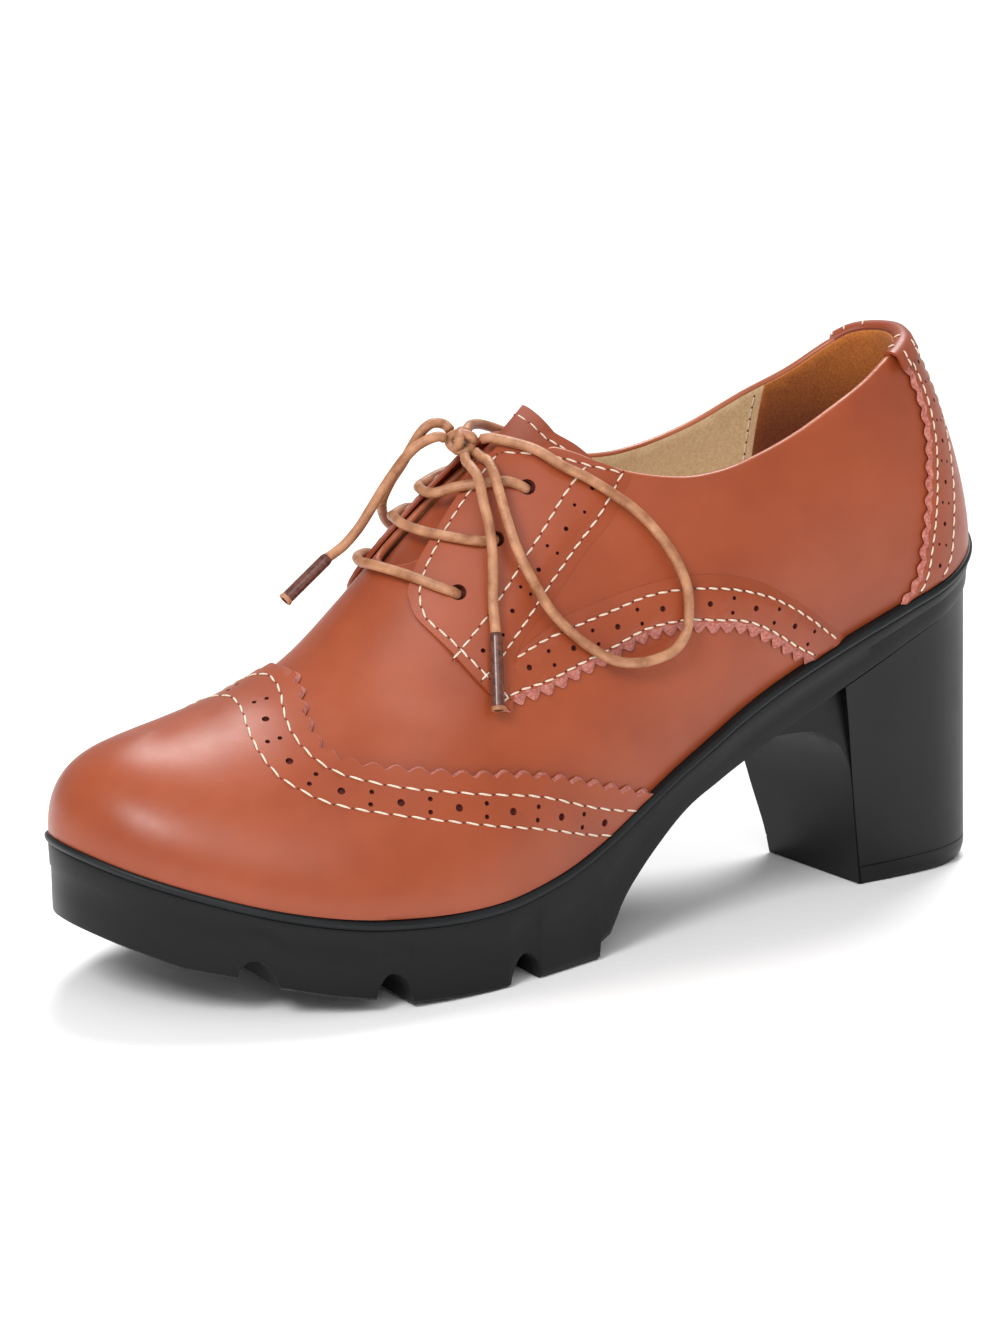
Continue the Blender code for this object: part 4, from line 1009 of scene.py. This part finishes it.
# section of the tab: drop below the rim and offset from the last, in millimetres
TAB_SECTION = [(4.4, 1.65), (4.4, 2.15), (1.2, 2.20), (-0.3, 1.75), (-1.2, 0.7), (-1.5, -0.5), (-1.2, -1.5),
               (-0.7, -1.9), (-0.4, -1.7), (-0.8, -0.6), (-0.5, 0.6), (0.6, 1.6)]
TAB_RUN = [(LATERAL, t) for t in np.linspace(14.85, END, 16)]
TAB_RUN += [(MEDIAL, t) for t in np.linspace(END, 15.2, 15)[1:]]


def rim_frames(run):
    """Rim point, direction up along the leather and normal for each (side, section)."""
    frames = []
    for side, t in run:
        s = float(top_edge(side, np.array([t]))[0])
        p = skin_point(side, t, s)
        up = skin_point(side, t, s + 0.01) - p
        frames.append((p, unit(up), skin_normal(side, t, s)))
    return frames


points, faces = [], []
for p, up, normal in rim_frames(TAB_RUN):
    points += [p - up * drop * MM + normal * offset * MM for drop, offset in TAB_SECTION]
count = len(TAB_SECTION)
faces += [face[::-1] for face in ring_faces(len(TAB_RUN), count)]
faces += [list(range(count)), [(len(TAB_RUN) - 1) * count + k for k in range(count)][::-1]]
dress(new_object("rim_tab", points, faces, [STRAP_LEATHER], None, 1.0), "strap_leather")
points, faces = [], []
for p, up, normal in rim_frames([(LATERAL, 15.1), (LATERAL, 15.7), (MEDIAL, 15.5), (MEDIAL, 16.1)]):
    for drop, offset, way, out in ((-1.5, -0.3, normal, up), (1.6, 2.25, up, normal), (3.8, 2.2, up, normal)):
        add_stitch(points, faces, p - up * drop * MM + normal * offset * MM, way, out, 2.0)
dress(new_object("rim_tab_stitches", points, faces, [THREAD]), "strap_leather")

# %% [markdown]
# The wing cap covers the toe and sweeps back along both sides. Its rear edge is pinked, and between two rows
# of stitches it has the punched pattern of a brogue: one large hole, then a pair of small ones.

# %% The wing cap
CAP_EDGE = [
    (0.000, 0.050), (0.100, 0.004), (0.170, -0.032), (0.230, -0.069), (0.305, -0.119),
    (0.360, -0.157), (0.450, -0.208), (0.510, -0.241), (0.555, -0.261), (0.605, -0.274),
    (0.680, -0.277), (0.770, -0.271), (0.870, -0.257), (0.960, -0.248), (1.000, -0.246),
]
CAP_UPPER_STITCH = [(0.030, 0.005), (-0.024, 0.105), (-0.080, 0.203), (-0.167, 0.330), (-0.220, 0.415),
                    (-0.250, 0.470), (-0.273, 0.520), (-0.287, 0.575), (-0.295, 0.640), (-0.297, 0.725),
                    (-0.289, 0.805), (-0.275, 0.900), (-0.268, 1.000)]
CAP_LOWER_STITCH = [(-0.003, 0.005), (-0.045, 0.075), (-0.087, 0.140), (-0.177, 0.268), (-0.230, 0.345),
                    (-0.270, 0.400), (-0.300, 0.450), (-0.320, 0.510), (-0.334, 0.570), (-0.341, 0.665),
                    (-0.340, 0.770), (-0.331, 0.875), (-0.327, 0.930), (-0.324, 1.000)]


def resample(rows, count):
    """Evenly spaced rows on a smooth line through (along, share) rows."""
    line = smooth_line(np.array(rows, float), 400)
    return evenly(line, run_along(line * (LENGTH, INSTEP_RISE)), count)


def midway(first, second, count=40):
    """Rows half-way between two lines."""
    return [((a + c) / 2, (b + d) / 2) for (a, b), (c, d) in
            zip(*(resample(rows, count) for rows in (first, second)))]


CAP_HOLES = hole_row(LATERAL, midway(CAP_UPPER_STITCH, CAP_LOWER_STITCH), 13.6, 1.75, 1.15)


def cap_patch(side):
    shares = np.linspace(0, 1, 60)
    rows = list(zip(smooth_table(CAP_EDGE, shares), shares))
    rear_t, rear_s, flare = pinked(side, rows, side, 5.1, 1.4, (0.75, 0.75))
    rear_s[0], rear_s[-1] = 0, 1
    feather_t = np.linspace(0, rear_t[0], 90)[:-1]
    ridge_t = np.linspace(rear_t[-1], 0, 30)[1:]
    return patch(side, CAP_HOLES, (feather_t, 0 * feather_t), (rear_t, rear_s, flare),
                 (ridge_t, 1 + 0 * ridge_t), (np.zeros(38), np.linspace(1, 0, 40)[1:-1]))


TOP = OVERLAY_GAP + OVERLAY
THREAD_AT = TOP + 0.02 * MM
cap = panel("punched_wing_cap", [cap_patch(side) for side in SIDES], OVERLAY_GAP, TOP,
            [CAP_LEATHER, CAP_LEATHER, RAW_EDGE, PAINTED_HOLE_SHADE], 2.0)
dress(cap, "cap_leather", "wing_cap")
shade_discs("cap_hole_painted_shade", CAP_HOLES, 0.0006, "cap_leather")
sew("cap_stitches", lambda side: (CAP_UPPER_STITCH, CAP_LOWER_STITCH), THREAD_AT, "cap_leather", 4.3)
print("cap:", len(cap.data.polygons), "faces,", 2 * len(CAP_HOLES), "holes")

# %% [markdown]
# The facings carry the eyelets. Each is edged with one row of stitches, and a slanting strip between two
# more rows runs down from the collar. The rear edge is skived, which means pared thin, so it melts into the
# quarter.

# %% The facings
FACING_INNER = [(-0.128, 0.800), (-0.118, 0.822), (-0.099, 0.845), (-0.053, 0.875),
                (-0.019, 0.897), (0.010, 0.912), (0.030, 0.912)]
FACING_TOP = [(0.030, 0.912), (0.034, 0.876), (0.049, 0.815), (0.066, 0.744), (0.098, 0.622)]
FACING_REAR = [(-0.092, 0.405), (-0.062, 0.490), (-0.026, 0.510), (0.002, 0.522), (0.033, 0.541),
               (0.067, 0.564), (0.098, 0.622)]
FACING_LOW = [(-0.128, 0.800), (-0.134, 0.727), (-0.122, 0.587), (-0.109, 0.485), (-0.092, 0.405)]
FACING_ROW_FRONT = [(0.070, 0.700), (0.014, 0.648), (-0.024, 0.625), (-0.047, 0.610), (-0.090, 0.592),
                    (-0.126, 0.585)]
FACING_ROW_REAR = [(0.094, 0.640), (0.058, 0.585), (0.018, 0.558), (-0.014, 0.542), (-0.041, 0.525),
                   (-0.080, 0.508), (-0.110, 0.500)]
FACING_EDGE_STITCH = [(0.020, 0.888), (-0.027, 0.862), (-0.065, 0.838), (-0.100, 0.808), (-0.120, 0.770),
                      (-0.128, 0.710), (-0.121, 0.640), (-0.112, 0.560), (-0.100, 0.480), (-0.090, 0.425)]
FACING_TOP_STITCH = [(0.024, 0.880), (0.030, 0.850), (0.043, 0.800), (0.060, 0.738), (0.073, 0.690),
                     (0.092, 0.640)]
FACING_HOLES = hole_row(LATERAL, midway(FACING_ROW_FRONT, FACING_ROW_REAR), 11.5, 1.15, 0.85, 1.4)


def skive(rows, reach):
    """Heights of a panel's outside and inside that thin out towards the line, over reach millimetres."""
    lines = {side: skin_point(side, *spaced(side, rows, 1.0 * MM)) for side in SIDES}

    def height(side, t, s, thin, full):
        places = skin_point(side, t, s)
        nearest = np.linalg.norm(places[:, None] - lines[side], axis=-1).min(axis=1)
        share = np.clip(nearest / (reach * MM), 0, 1)
        return thin + (full - thin) * share * share * (3 - 2 * share)

    return (lambda side, t, s: height(side, t, s, 0.14 * MM, TOP),
            lambda side, t, s: height(side, t, s, 0.03 * MM, OVERLAY_GAP))


facing_top, facing_under = skive(FACING_REAR[1:], 6)


def make_facing(name, side, node):
    lines = [spaced(side, rows, 1.3 * MM) for rows in
             (FACING_INNER, FACING_TOP, FACING_REAR[::-1], FACING_LOW[::-1])]
    part = patch(side, EYELET_HOLES + FACING_HOLES, *[(t[:-1], s[:-1]) for t, s in lines])
    piece = panel(name, [part], facing_under, facing_top,
                  [FACING_LEATHER, FACING_LEATHER, FACING_LEATHER, PAINTED_HOLE_SHADE], 1.6)
    dress(piece, "facing_leather", node)


make_facing("lateral_facing", LATERAL, "facing_lateral")
make_facing("medial_facing", MEDIAL, "facing_medial")
shade_discs("facing_hole_painted_shade", FACING_HOLES, 0.0003, "facing_leather")
sew("facing_stitches",
    lambda side: (FACING_ROW_FRONT, FACING_ROW_REAR, FACING_EDGE_STITCH, FACING_TOP_STITCH),
    lambda side, t, s: facing_top(side, t, s) + 0.02 * MM, "facing_leather", 3.3)

# %% [markdown]
# A punched band arches along each quarter from the foot of the facing down to the sole. Its lower edge is
# pinked, with the cut slanting so that the raw hide shows like a ribbon. Its upper edge is thin and sewn.

# %% The side bands
BAND_TIPS = [(-0.098, 0.404), (-0.080, 0.400), (-0.045, 0.372), (-0.008, 0.352), (0.028, 0.328),
             (0.063, 0.310), (0.101, 0.270), (0.128, 0.231), (0.159, 0.185), (0.188, 0.124), (0.215, 0.060),
             (0.243, 0.000)]
BAND_HIGH = [(-0.066, 0.484), (-0.045, 0.482), (-0.008, 0.470), (0.028, 0.442), (0.063, 0.416),
             (0.101, 0.382), (0.128, 0.350), (0.159, 0.304), (0.188, 0.252), (0.215, 0.192),
             (0.243, 0.130), (0.292, 0.000)]
BAND_HIGH_STITCH = [(-0.068, 0.480), (-0.034, 0.465), (0.000, 0.440), (0.036, 0.412), (0.069, 0.390),
                    (0.099, 0.360), (0.130, 0.320), (0.163, 0.270), (0.197, 0.210), (0.239, 0.120),
                    (0.278, 0.020)]


def inside_line(side, rows, distance, out):
    """Rows of a line this many millimetres to the left of another, or to its right where out is -1."""
    t, s = spaced(side, rows, 2.5 * MM)
    left = left_of(side, t, s)
    t, s = shift(side, t, s, left * (out * distance * MM))
    keep = s > 0.004
    along = np.interp(t[keep], DENSE_T, DENSE_X) / LENGTH
    return list(zip(along, s[keep]))


band_top, band_under = skive(BAND_HIGH, 3.6)
BAND_CUT = inside_line(LATERAL, BAND_TIPS, 2.5, 1)
BAND_LOW_STITCH = inside_line(LATERAL, BAND_TIPS, 3.0, 1)
BAND_HOLES = hole_row(LATERAL, midway(BAND_LOW_STITCH, BAND_HIGH_STITCH), 12.0, 1.4, 1.0, 1.7)


def make_band(name, side, node):
    rows = BAND_CUT + [(BAND_CUT[-1][0] + 0.006, 0.0)]
    low_t, low_s, flare = pinked(side, rows, side, 3.9, 0.5, (1.3, 2.5))
    low_s[-1] = 0
    flare[-1] = 0
    end_t = np.linspace(low_t[-1], station(BAND_HIGH[-1][0]), 12)[1:-1]
    high_t, high_s = spaced(side, BAND_HIGH[::-1], 1.4 * MM)
    high_s[0] = 0
    start_t = np.linspace(high_t[-1], low_t[0], 6)[1:-1]
    start_s = np.linspace(high_s[-1], low_s[0], 6)[1:-1]
    part = patch(side, BAND_HOLES, (low_t, low_s, flare), (end_t, 0 * end_t), (high_t, high_s),
                 (start_t, start_s))
    piece = panel(name, [part], band_under, band_top,
                  [BAND_LEATHER, BAND_LEATHER, RAW_EDGE, PAINTED_HOLE_SHADE], 1.6)
    for face in piece.data.polygons:
        if face.material_index == 2:
            places = np.array([tuple(piece.data.vertices[v].co) for v in face.vertices])
            low = np.linalg.norm(places.mean(axis=0) - CUT_PLACES[side], axis=1).min()
            face.material_index = 2 if low < 4.0 * MM else 0
    dress(piece, "band_leather", node)


CUT_PLACES = {side: skin_point(side, *spaced(side, BAND_TIPS, 2.0 * MM)) for side in SIDES}
make_band("lateral_punched_band", LATERAL, "side_band_lateral")
make_band("medial_punched_band", MEDIAL, "side_band_medial")
shade_discs("band_hole_painted_shade", BAND_HOLES, 0.0006, "band_leather")
sew("band_stitches", lambda side: (BAND_LOW_STITCH, BAND_HIGH_STITCH),
    lambda side, t, s: band_top(side, t, s) + 0.02 * MM, "band_leather", 3.2)

# %% [markdown]
# A strip covers the seam at the back of the heel. Its front edges are pinked and stitched, and a second row
# of stitches runs nearer the middle, with holes punched between the two.

# %% The back strap
STRAP_ROWS = [(0.000, 0.360), (0.040, 0.375), (0.150, 0.390), (0.235, 0.402), (0.313, 0.414),
              (0.382, 0.427), (0.471, 0.437), (0.568, 0.436), (0.700, 0.432)]
STRAP_TOP = float(top_edge(LATERAL, np.array([END]))[0]) - 0.01
STRAP_LINE = [(float(smooth_table(STRAP_ROWS, s)), s) for s in np.linspace(0, STRAP_TOP, 24)]
STRAP_STITCH = inside_line(LATERAL, STRAP_LINE, 1.7, -1)
STRAP_SECOND = [(min(a + 0.042, 0.489), s) for a, s in STRAP_LINE[1:]]
STRAP_HOLES = hole_row(LATERAL, midway(STRAP_STITCH, STRAP_SECOND), 9.8, 1.15, 0.80, 1.3)


def strap_patch(side):
    front_t, front_s, flare = pinked(side, STRAP_LINE, -side, 4.1, 0.7, (0.35, 0.95))
    front_s[0], front_s[-1] = 0, STRAP_TOP
    top_t = np.linspace(front_t[-1], END, 14)[1:]
    top_s = np.array([min(top_edge(side, np.array([t]))[0] - 0.01, STRAP_TOP + 0.02) for t in top_t])
    top_s[-1] = STRAP_TOP
    low_t = np.linspace(END, front_t[0], 20)[1:-1]
    return patch(side, STRAP_HOLES, (front_t, front_s, flare), (top_t, top_s),
                 (np.full(39, float(END)), np.linspace(STRAP_TOP, 0, 40)[1:]), (low_t, 0 * low_t))


strap = panel("punched_back_strap", [strap_patch(side) for side in SIDES], OVERLAY_GAP, TOP,
              [STRAP_LEATHER, STRAP_LEATHER, RAW_EDGE, PAINTED_HOLE_SHADE], 1.6)
dress(strap, "strap_leather", "back_strap")
shade_discs("strap_hole_painted_shade", STRAP_HOLES, 0.0006, "strap_leather")
sew("strap_stitches", lambda side: (STRAP_STITCH, STRAP_SECOND), THREAD_AT, "strap_leather", 3.0)

# %% [markdown]
# The tongue lies under the facings. It is one layer of the same leather, cut on a slant at its top, where it
# lifts a little off the foot, with a row of stitches along that edge.

# %% The tongue
TONGUE = 0.0020
TONGUE_OUTSIDE = -UPPER_WALL - 0.0007
TONGUE_FRONT = -0.208 * LENGTH
TONGUE_ROWS = [(0.64, 0.046), (0.70, 0.040), (0.77, 0.028), (0.84, 0.015), (0.93, 0.005), (1.00, -0.001)]
TONGUE_SHARE = TONGUE_ROWS[0][0]


def tongue_lift(side, t, s):
    """The free top stands off, most at the ridge."""
    x = skin_point(side, t, s)[..., 0]
    near_top = np.clip(1 - (smooth_table(TONGUE_ROWS, s) * LENGTH - x) / 0.020, 0, 1)
    near_ridge = np.clip((s - 0.86) / 0.14, 0, 1)
    return 5.8 * MM * near_top**1.5 * near_ridge


def tongue_patch(side):
    shares = np.linspace(TONGUE_SHARE, 1, 30)
    first = np.array([at_x(side, s, TONGUE_FRONT) for s in shares])
    last = np.array([at_x(side, s, smooth_table(TONGUE_ROWS, s) * LENGTH) for s in shares])
    ridge_t = np.linspace(first[-1], last[-1], 40)[1:-1]
    low_t = np.linspace(last[0], first[0], 40)[1:-1]
    return patch(side, [], (first, shares), (ridge_t, 1 + 0 * ridge_t), (last[::-1], shares[::-1]),
                 (low_t, TONGUE_SHARE + 0 * low_t))


tongue = panel("tongue_leather_piece", [tongue_patch(side) for side in SIDES],
               lambda side, t, s: TONGUE_OUTSIDE - TONGUE + tongue_lift(side, t, s),
               lambda side, t, s: TONGUE_OUTSIDE + tongue_lift(side, t, s),
               [TONGUE_LEATHER, PIGSKIN, TONGUE_LEATHER, PAINTED_HOLE_SHADE], 2.0)
dress(tongue, "tongue_leather", "tongue")
TONGUE_STITCH = [(float(np.interp(at_x(LATERAL, s, smooth_table(TONGUE_ROWS, s) * LENGTH - 0.0026), DENSE_T,
                                  DENSE_X)) / LENGTH, s) for s in np.linspace(0.70, 1, 12)]
sew("tongue_stitches", lambda side: [TONGUE_STITCH],
    lambda side, t, s: TONGUE_OUTSIDE + tongue_lift(side, t, s) + 0.02 * MM, "tongue_leather", 3.0)

# %% [markdown]
# The lace crosses the throat three times. Each bar comes up out of one eyelet, bends over the edge of the
# facing and dives into the eyelet on the other side.

# %% The lace's bars
BARS = [
    [(-1, -0.093, 0.690), (-1, -0.103, 0.730), (-1, -0.117, 0.835), (-1, -0.123, 0.950),
     (1, -0.125, 0.970), (1, -0.125, 0.900), (1, -0.118, 0.820), (1, -0.105, 0.750), (1, -0.093, 0.700)],
    [(-1, -0.038, 0.710), (-1, -0.051, 0.735), (-1, -0.067, 0.800), (-1, -0.078, 0.880),
     (-1, -0.078, 0.970), (1, -0.078, 0.930), (1, -0.076, 0.860), (1, -0.057, 0.780), (1, -0.038, 0.710)],
    [(-1, 0.014, 0.745), (-1, 0.004, 0.795), (-1, -0.014, 0.850), (-1, -0.028, 0.900),
     (-1, -0.041, 0.960), (1, -0.043, 0.950), (1, -0.040, 0.880), (1, -0.015, 0.800), (1, 0.012, 0.745)],
]
BAR_GROUND = TOP + LACE / 2


def make_bar(number, rows):
    """The first and last points lie under the facing, inside its eyelets."""
    route = [on_leather(side, station(along), share, BAR_GROUND + 0.1 * MM)
             for side, along, share in rows[1:-1]]
    ends = []
    for side in (rows[0][0], rows[-1][0]):
        t, s, _ = EYELET_HOLES[number - 1]
        ends.append([on_leather(side, t - 0.035, s + 0.003, depth * MM) for depth in (-2.6, -0.4, 1.6)])
    line, length = through(ends[0] + route + ends[1][::-1], 0.0008)
    piece = tube(f"lace_crossing_{number}", line, LACE / 2, LACE_COTTON)
    dress(piece, "lace", f"lace_bar_{number}")
    print("crossing", number, "is", round(length / MM, 1), "mm long")


for number, rows in enumerate(BARS, 1):
    make_bar(number, rows)

# %% [markdown]
# The sole is one moulded rubber unit: a lugged platform, a waist and a rim with a rolled bead. It is drawn as
# rings round the feather line, from the top down. Its bottom follows the tread, with three arched grooves.

# %% The sole
WELT, BEAD, BEAD_OUT = 0.0027, 0.0022, 0.0009
TOE_LIFT, WAIST = 0.0194, 0.0110
TREAD_ROWS = [
    (-0.507, 1.000), (-0.477, 0.840), (-0.435, 0.618), (-0.394, 0.510), (-0.359, 0.376), (-0.316, 0.252),
    (-0.275, 0.155), (-0.238, 0.050), (-0.195, 0.018), (-0.151, 0.000), (-0.131, 0.000), (-0.015, 0.000),
]
NOTCHES = [(-0.3765, 0.0175, 0.265), (-0.2565, 0.0185, 0.335), (-0.1125, 0.0185, 0.350)]
WAIST_ROWS = [
    (-0.001, 2.227), (0.012, 1.827), (0.037, 1.473), (0.063, 1.255), (0.100, 1.060),
    (0.138, 1.100), (0.175, 1.160), (0.222, 1.150), (0.300, 1.060), (0.400, 0.860), (0.500, 0.730),
]


def plan_normal(side, t):
    """Outward unit normal of the feather line, seen from above."""
    step = 1e-2
    run = feather(side, np.clip(t + step, 0, END)) - feather(side, np.clip(t - step, 0, END))
    normal = np.stack([run[..., 1], -run[..., 0]], -1) * -side
    ends = np.isclose(t, 0) | np.isclose(t, END)
    tip = np.stack([np.sign(t - END / 2), 0 * t], -1)
    normal = np.where(ends[..., None], tip, normal)
    return unit(normal)


def underside(x):
    """Height of the sole's bottom at x: the tread with its grooves, then the waist."""
    along = np.asarray(x) / LENGTH
    tread = np.interp(along, *np.transpose(TREAD_ROWS))
    for centre, half, rise in NOTCHES:
        u = np.clip(np.abs(along - centre) / half, 0, 1)
        tread = tread + rise * (1 - u**2.2)**0.75
    waist = seat(x) - WAIST * smooth_table(WAIST_ROWS, along)
    return np.where(along <= TREAD_ROWS[-1][0] + 1e-9, TOE_LIFT * tread, waist)


def ringed_body(name, rings, half, indices, looks):
    """A closed body from rings of points; half is the number of points from end to end on one side."""
    count = len(rings[0])
    faces = ring_faces(len(rings), count)
    marks = [index for index in indices[:len(rings) - 1] for _ in range(count)]
    for r, turn in ((0, 1), (len(rings) - 1, -1)):
        for k in range(half - 1):
            face = [r * count + v for v in (k, k + 1, (count - k - 1) % count, (count - k) % count)]
            face = [v for i, v in enumerate(face) if v not in face[:i]]
            faces.append(face[::turn])
            marks.append(indices[-1])
    made = new_object(name, np.vstack(rings), faces, looks, marks)
    mesh = bmesh.new()
    mesh.from_mesh(made.data)
    bmesh.ops.recalc_face_normals(mesh, faces=mesh.faces)
    mesh.to_mesh(made.data)
    mesh.free()
    made.data.set_sharp_from_angle(angle=0.7)
    return made


marks = list(station(np.arange(-0.499, 0.499, 0.007))) + [0, END, station(-0.0150), station(-0.0148)]
marks += list(np.arange(0, 1.6, 0.08)) + list(np.arange(15.6, END, 0.08))
for centre, half, _ in NOTCHES:
    marks += list(station(np.linspace(centre - half, centre + half, 17)))
marks = np.array(sorted(set(np.round(marks, 4))))
marks = marks[np.concatenate([[True], np.diff(marks) > 0.008])]
marks[-1] = END
sides = np.array([LATERAL] * len(marks) + [MEDIAL] * (len(marks) - 2))
places = np.concatenate([marks, marks[-2:0:-1]])
base = np.array([feather(side, np.array(t)) for side, t in zip(sides, places)])
normals = np.array([plan_normal(side, np.array(t)) for side, t in zip(sides, places)])
side_out = WELT - BEAD_OUT
profile = [(-4.0, 0.0, 0.0)]
for turn in np.linspace(0, math.pi, 9):
    profile.append(((WELT - BEAD / 2) / MM + BEAD / 2 / MM * math.sin(turn) * 0.95 + 0.1 * (turn == 0) - 0.1,
                    -BEAD / 2 / MM * (1 - math.cos(turn)), 0.0))
wall, under_bead = side_out / MM, -BEAD / MM
profile += [(wall - 0.10, under_bead - 0.10, 0.0), (wall, under_bead - 0.45, 0.0)]
for inset, share in ((0.05, 0.10), (0.2, 0.30), (0.5, 0.34), (0.55, 0.6), (0.6, 0.9), (0.75, 0.965),
                     (1.5, 1.0)):
    profile.append((wall - inset, under_bead, share))
rings = []
for out, drop, share in profile:
    spots = base[:, :2] + normals * out * MM
    high, low = seat(spots[:, 0]), underside(base[:, 0])
    top = high + drop * MM
    rings.append(np.column_stack([spots, top + (low - top) * share]))
indices = [1] * 10 + [0] * (len(rings) - 10) + [0]
sole = ringed_body("lugged_platform_sole", rings, len(marks), indices, [SOLE_RUBBER, BEAD_RUBBER])
dress(sole, "sole_rubber", "outsole")
print("sole:", len(sole.data.polygons), "faces")

# %% [markdown]
# The heel is a block that narrows to its foot. A breast, the face towards the toe, sweeps forward under the
# waist. A fine line near the floor parts the top lift, the layer that wears, from the block.

# %% The heel
HEEL_FOOT_FRONT = 0.343 * LENGTH
HEEL_FOOT_LENGTH, HEEL_FOOT_WIDTH = 0.0412, 0.0340
HEEL_FOOT_SHIFT, HEEL_FOOT_SWING, HEEL_FOOT_TURN, HEEL_FOOT_ROUND = 0.0034, 0.0020, 0.095, 0.0020
HEEL_TOP_INSET = 0.0012
LIFT_GROOVE = (0.0755, 0.0785)      # shares of the height between which the fine line runs
HEEL_WEB_REACH, HEEL_WEB_STEP, HEEL_WEB_INSET, HEEL_WEB_FADE = 0.034, 0.0006, 0.0024, 0.55
HEEL_ROWS = [
    (0.00, 0.00, 0.00), (0.08, 0.02, 0.05), (0.30, 0.10, 0.24), (0.50, 0.17, 0.44),
    (0.64, 0.25, 0.60), (0.75, 0.36, 0.73), (0.84, 0.52, 0.83), (0.92, 0.75, 0.91), (1.00, 1.00, 1.00),
]


def heel_ring(height, tops, groove=0.0):
    """One outline of the heel at this share of its height; groove pulls its sides in, in metres."""
    top_front = tops[0][0, 0]
    deep = max(top[-1, 0] for top in tops) - top_front
    forward = smooth_table([(h, f) for h, f, _ in HEEL_ROWS], height)
    widening = smooth_table([(h, w) for h, _, w in HEEL_ROWS], height)
    halves = []
    for side, top in zip(SIDES, tops):
        back = np.clip((top[:, 0] - top_front) / deep, 0, 1)
        foot_y = top[:, 1] / abs(top[0, 1]) * HEEL_FOOT_WIDTH / 2 - HEEL_FOOT_SHIFT - back * HEEL_FOOT_SWING
        turn = HEEL_FOOT_TURN * (foot_y + HEEL_FOOT_WIDTH / 2 + HEEL_FOOT_SHIFT)
        edge = HEEL_FOOT_ROUND * max(0.0, 1 - height / 0.05)**2
        foot_x = HEEL_FOOT_FRONT + back * HEEL_FOOT_LENGTH - turn - edge * back
        foot_y = foot_y - edge * side * np.sqrt(back) / 2
        x = foot_x + (top[:, 0] - foot_x) * height - groove * back
        y = foot_y + (top[:, 1] - foot_y) * widening - groove * side * (1 - back)
        fade = max(0.0, (height - HEEL_WEB_FADE) / (1 - HEEL_WEB_FADE))
        web_y = y[0] - side * (HEEL_WEB_INSET * fade + GAP)
        web_x = foot_x[0] - HEEL_WEB_STEP - HEEL_WEB_REACH * forward
        halves.append(np.array([(web_x, web_y), (x[0], web_y)] + list(zip(x, y))))
    outline = np.vstack([halves[0], halves[1][::-1]])
    z = height * (underside(outline[:, 0]) - GAP)
    return np.column_stack([outline, z])


heel_sides = station(np.concatenate([np.linspace(0.292, 0.46, 14), np.linspace(0.468, 0.4985, 9)]))
tops = [feather(side, heel_sides)[:, :2] + plan_normal(side, heel_sides) * (side_out - HEEL_TOP_INSET)
        for side in SIDES]
levels = [0.0, 0.004, 0.012, 0.024, 0.05, 0.074, *LIFT_GROOVE, 0.080, *np.linspace(0.12, 1.0, 30)]
rings = [heel_ring(height, tops, 0.25 * MM * (height in LIFT_GROOVE)) for height in levels]
count = len(rings[0])
faces = ring_faces(len(rings), count)
for r, turn in ((0, -1), (len(rings) - 1, 1)):
    faces += [[r * count + v for v in (k, k + 1, count - k - 2, count - k - 1)][::turn]
              for k in range(count // 2 - 1)]
heel = new_object("block_heel", np.vstack(rings), faces, [HEEL_RUBBER], None, 0.6)
dress(heel, "heel_rubber", "heel")
print("heel:", len(heel.data.polygons), "faces")

# %% [markdown]
# The insole keeps the engineer's solid. Only its finish changes, to a smooth sock leather.

# %% Finish of the insole
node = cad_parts["insole"]
for index in range(len(node.data.materials)):
    node.data.materials[index] = SOCK

# %% [markdown]
# The set is a white paper floor that runs far back, so it is also the background. A wide soft sun stands in
# for the big overhead softbox of a shop's studio, and one smaller lamp draws the highlight on the toe.

# %% Floor and lights
floor = new_object("studio_floor", [(x, y, -0.0002) for x, y in ((-12, -12), (12, -12), (12, 12), (-12, 12))],
                   [[0, 1, 2, 3]], [])
paper, _, shader, *_ = dyed("white_paper_floor", ("#FBFBFB", "#FAFAFA", "#FDFDFD"), 3, 1, (0, 1), 0.8)
shader.inputs["Specular IOR Level"].default_value = 0.0
floor.data.materials.append(paper)


def new_light(name, kind, place, aim, energy, **settings):
    data = bpy.data.lights.new(name, kind)
    data.energy = energy
    for key, value in settings.items():
        setattr(data, key, value)
    lamp = bpy.data.objects.new(name, data)
    bpy.context.collection.objects.link(lamp)
    lamp.location = place
    lamp.rotation_euler = (Vector(place) - Vector(aim)).to_track_quat("Z", "Y").to_euler()


new_light("softbox_sun", "SUN", (0.55, 0.60, 1.3), (0, 0, 0.05), 2.6, angle=math.radians(30))
new_light("front_softbox", "AREA", (-0.35, -1.0, 0.9), (0, 0, 0.05), 4.0, shape="DISK", size=0.9)
new_light("toe_lamp", "AREA", (-0.75, -0.45, 0.75), (-0.08, 0, 0.05), 7.0, shape="DISK", size=0.40)
world = bpy.data.worlds.new("studio")
world.use_nodes = True
world.node_tree.nodes["Background"].inputs["Color"].default_value = (1, 1, 1, 1)
world.node_tree.nodes["Background"].inputs["Strength"].default_value = 0.49
bpy.context.scene.world = world
bpy.context.scene.view_settings.view_transform = "Standard"
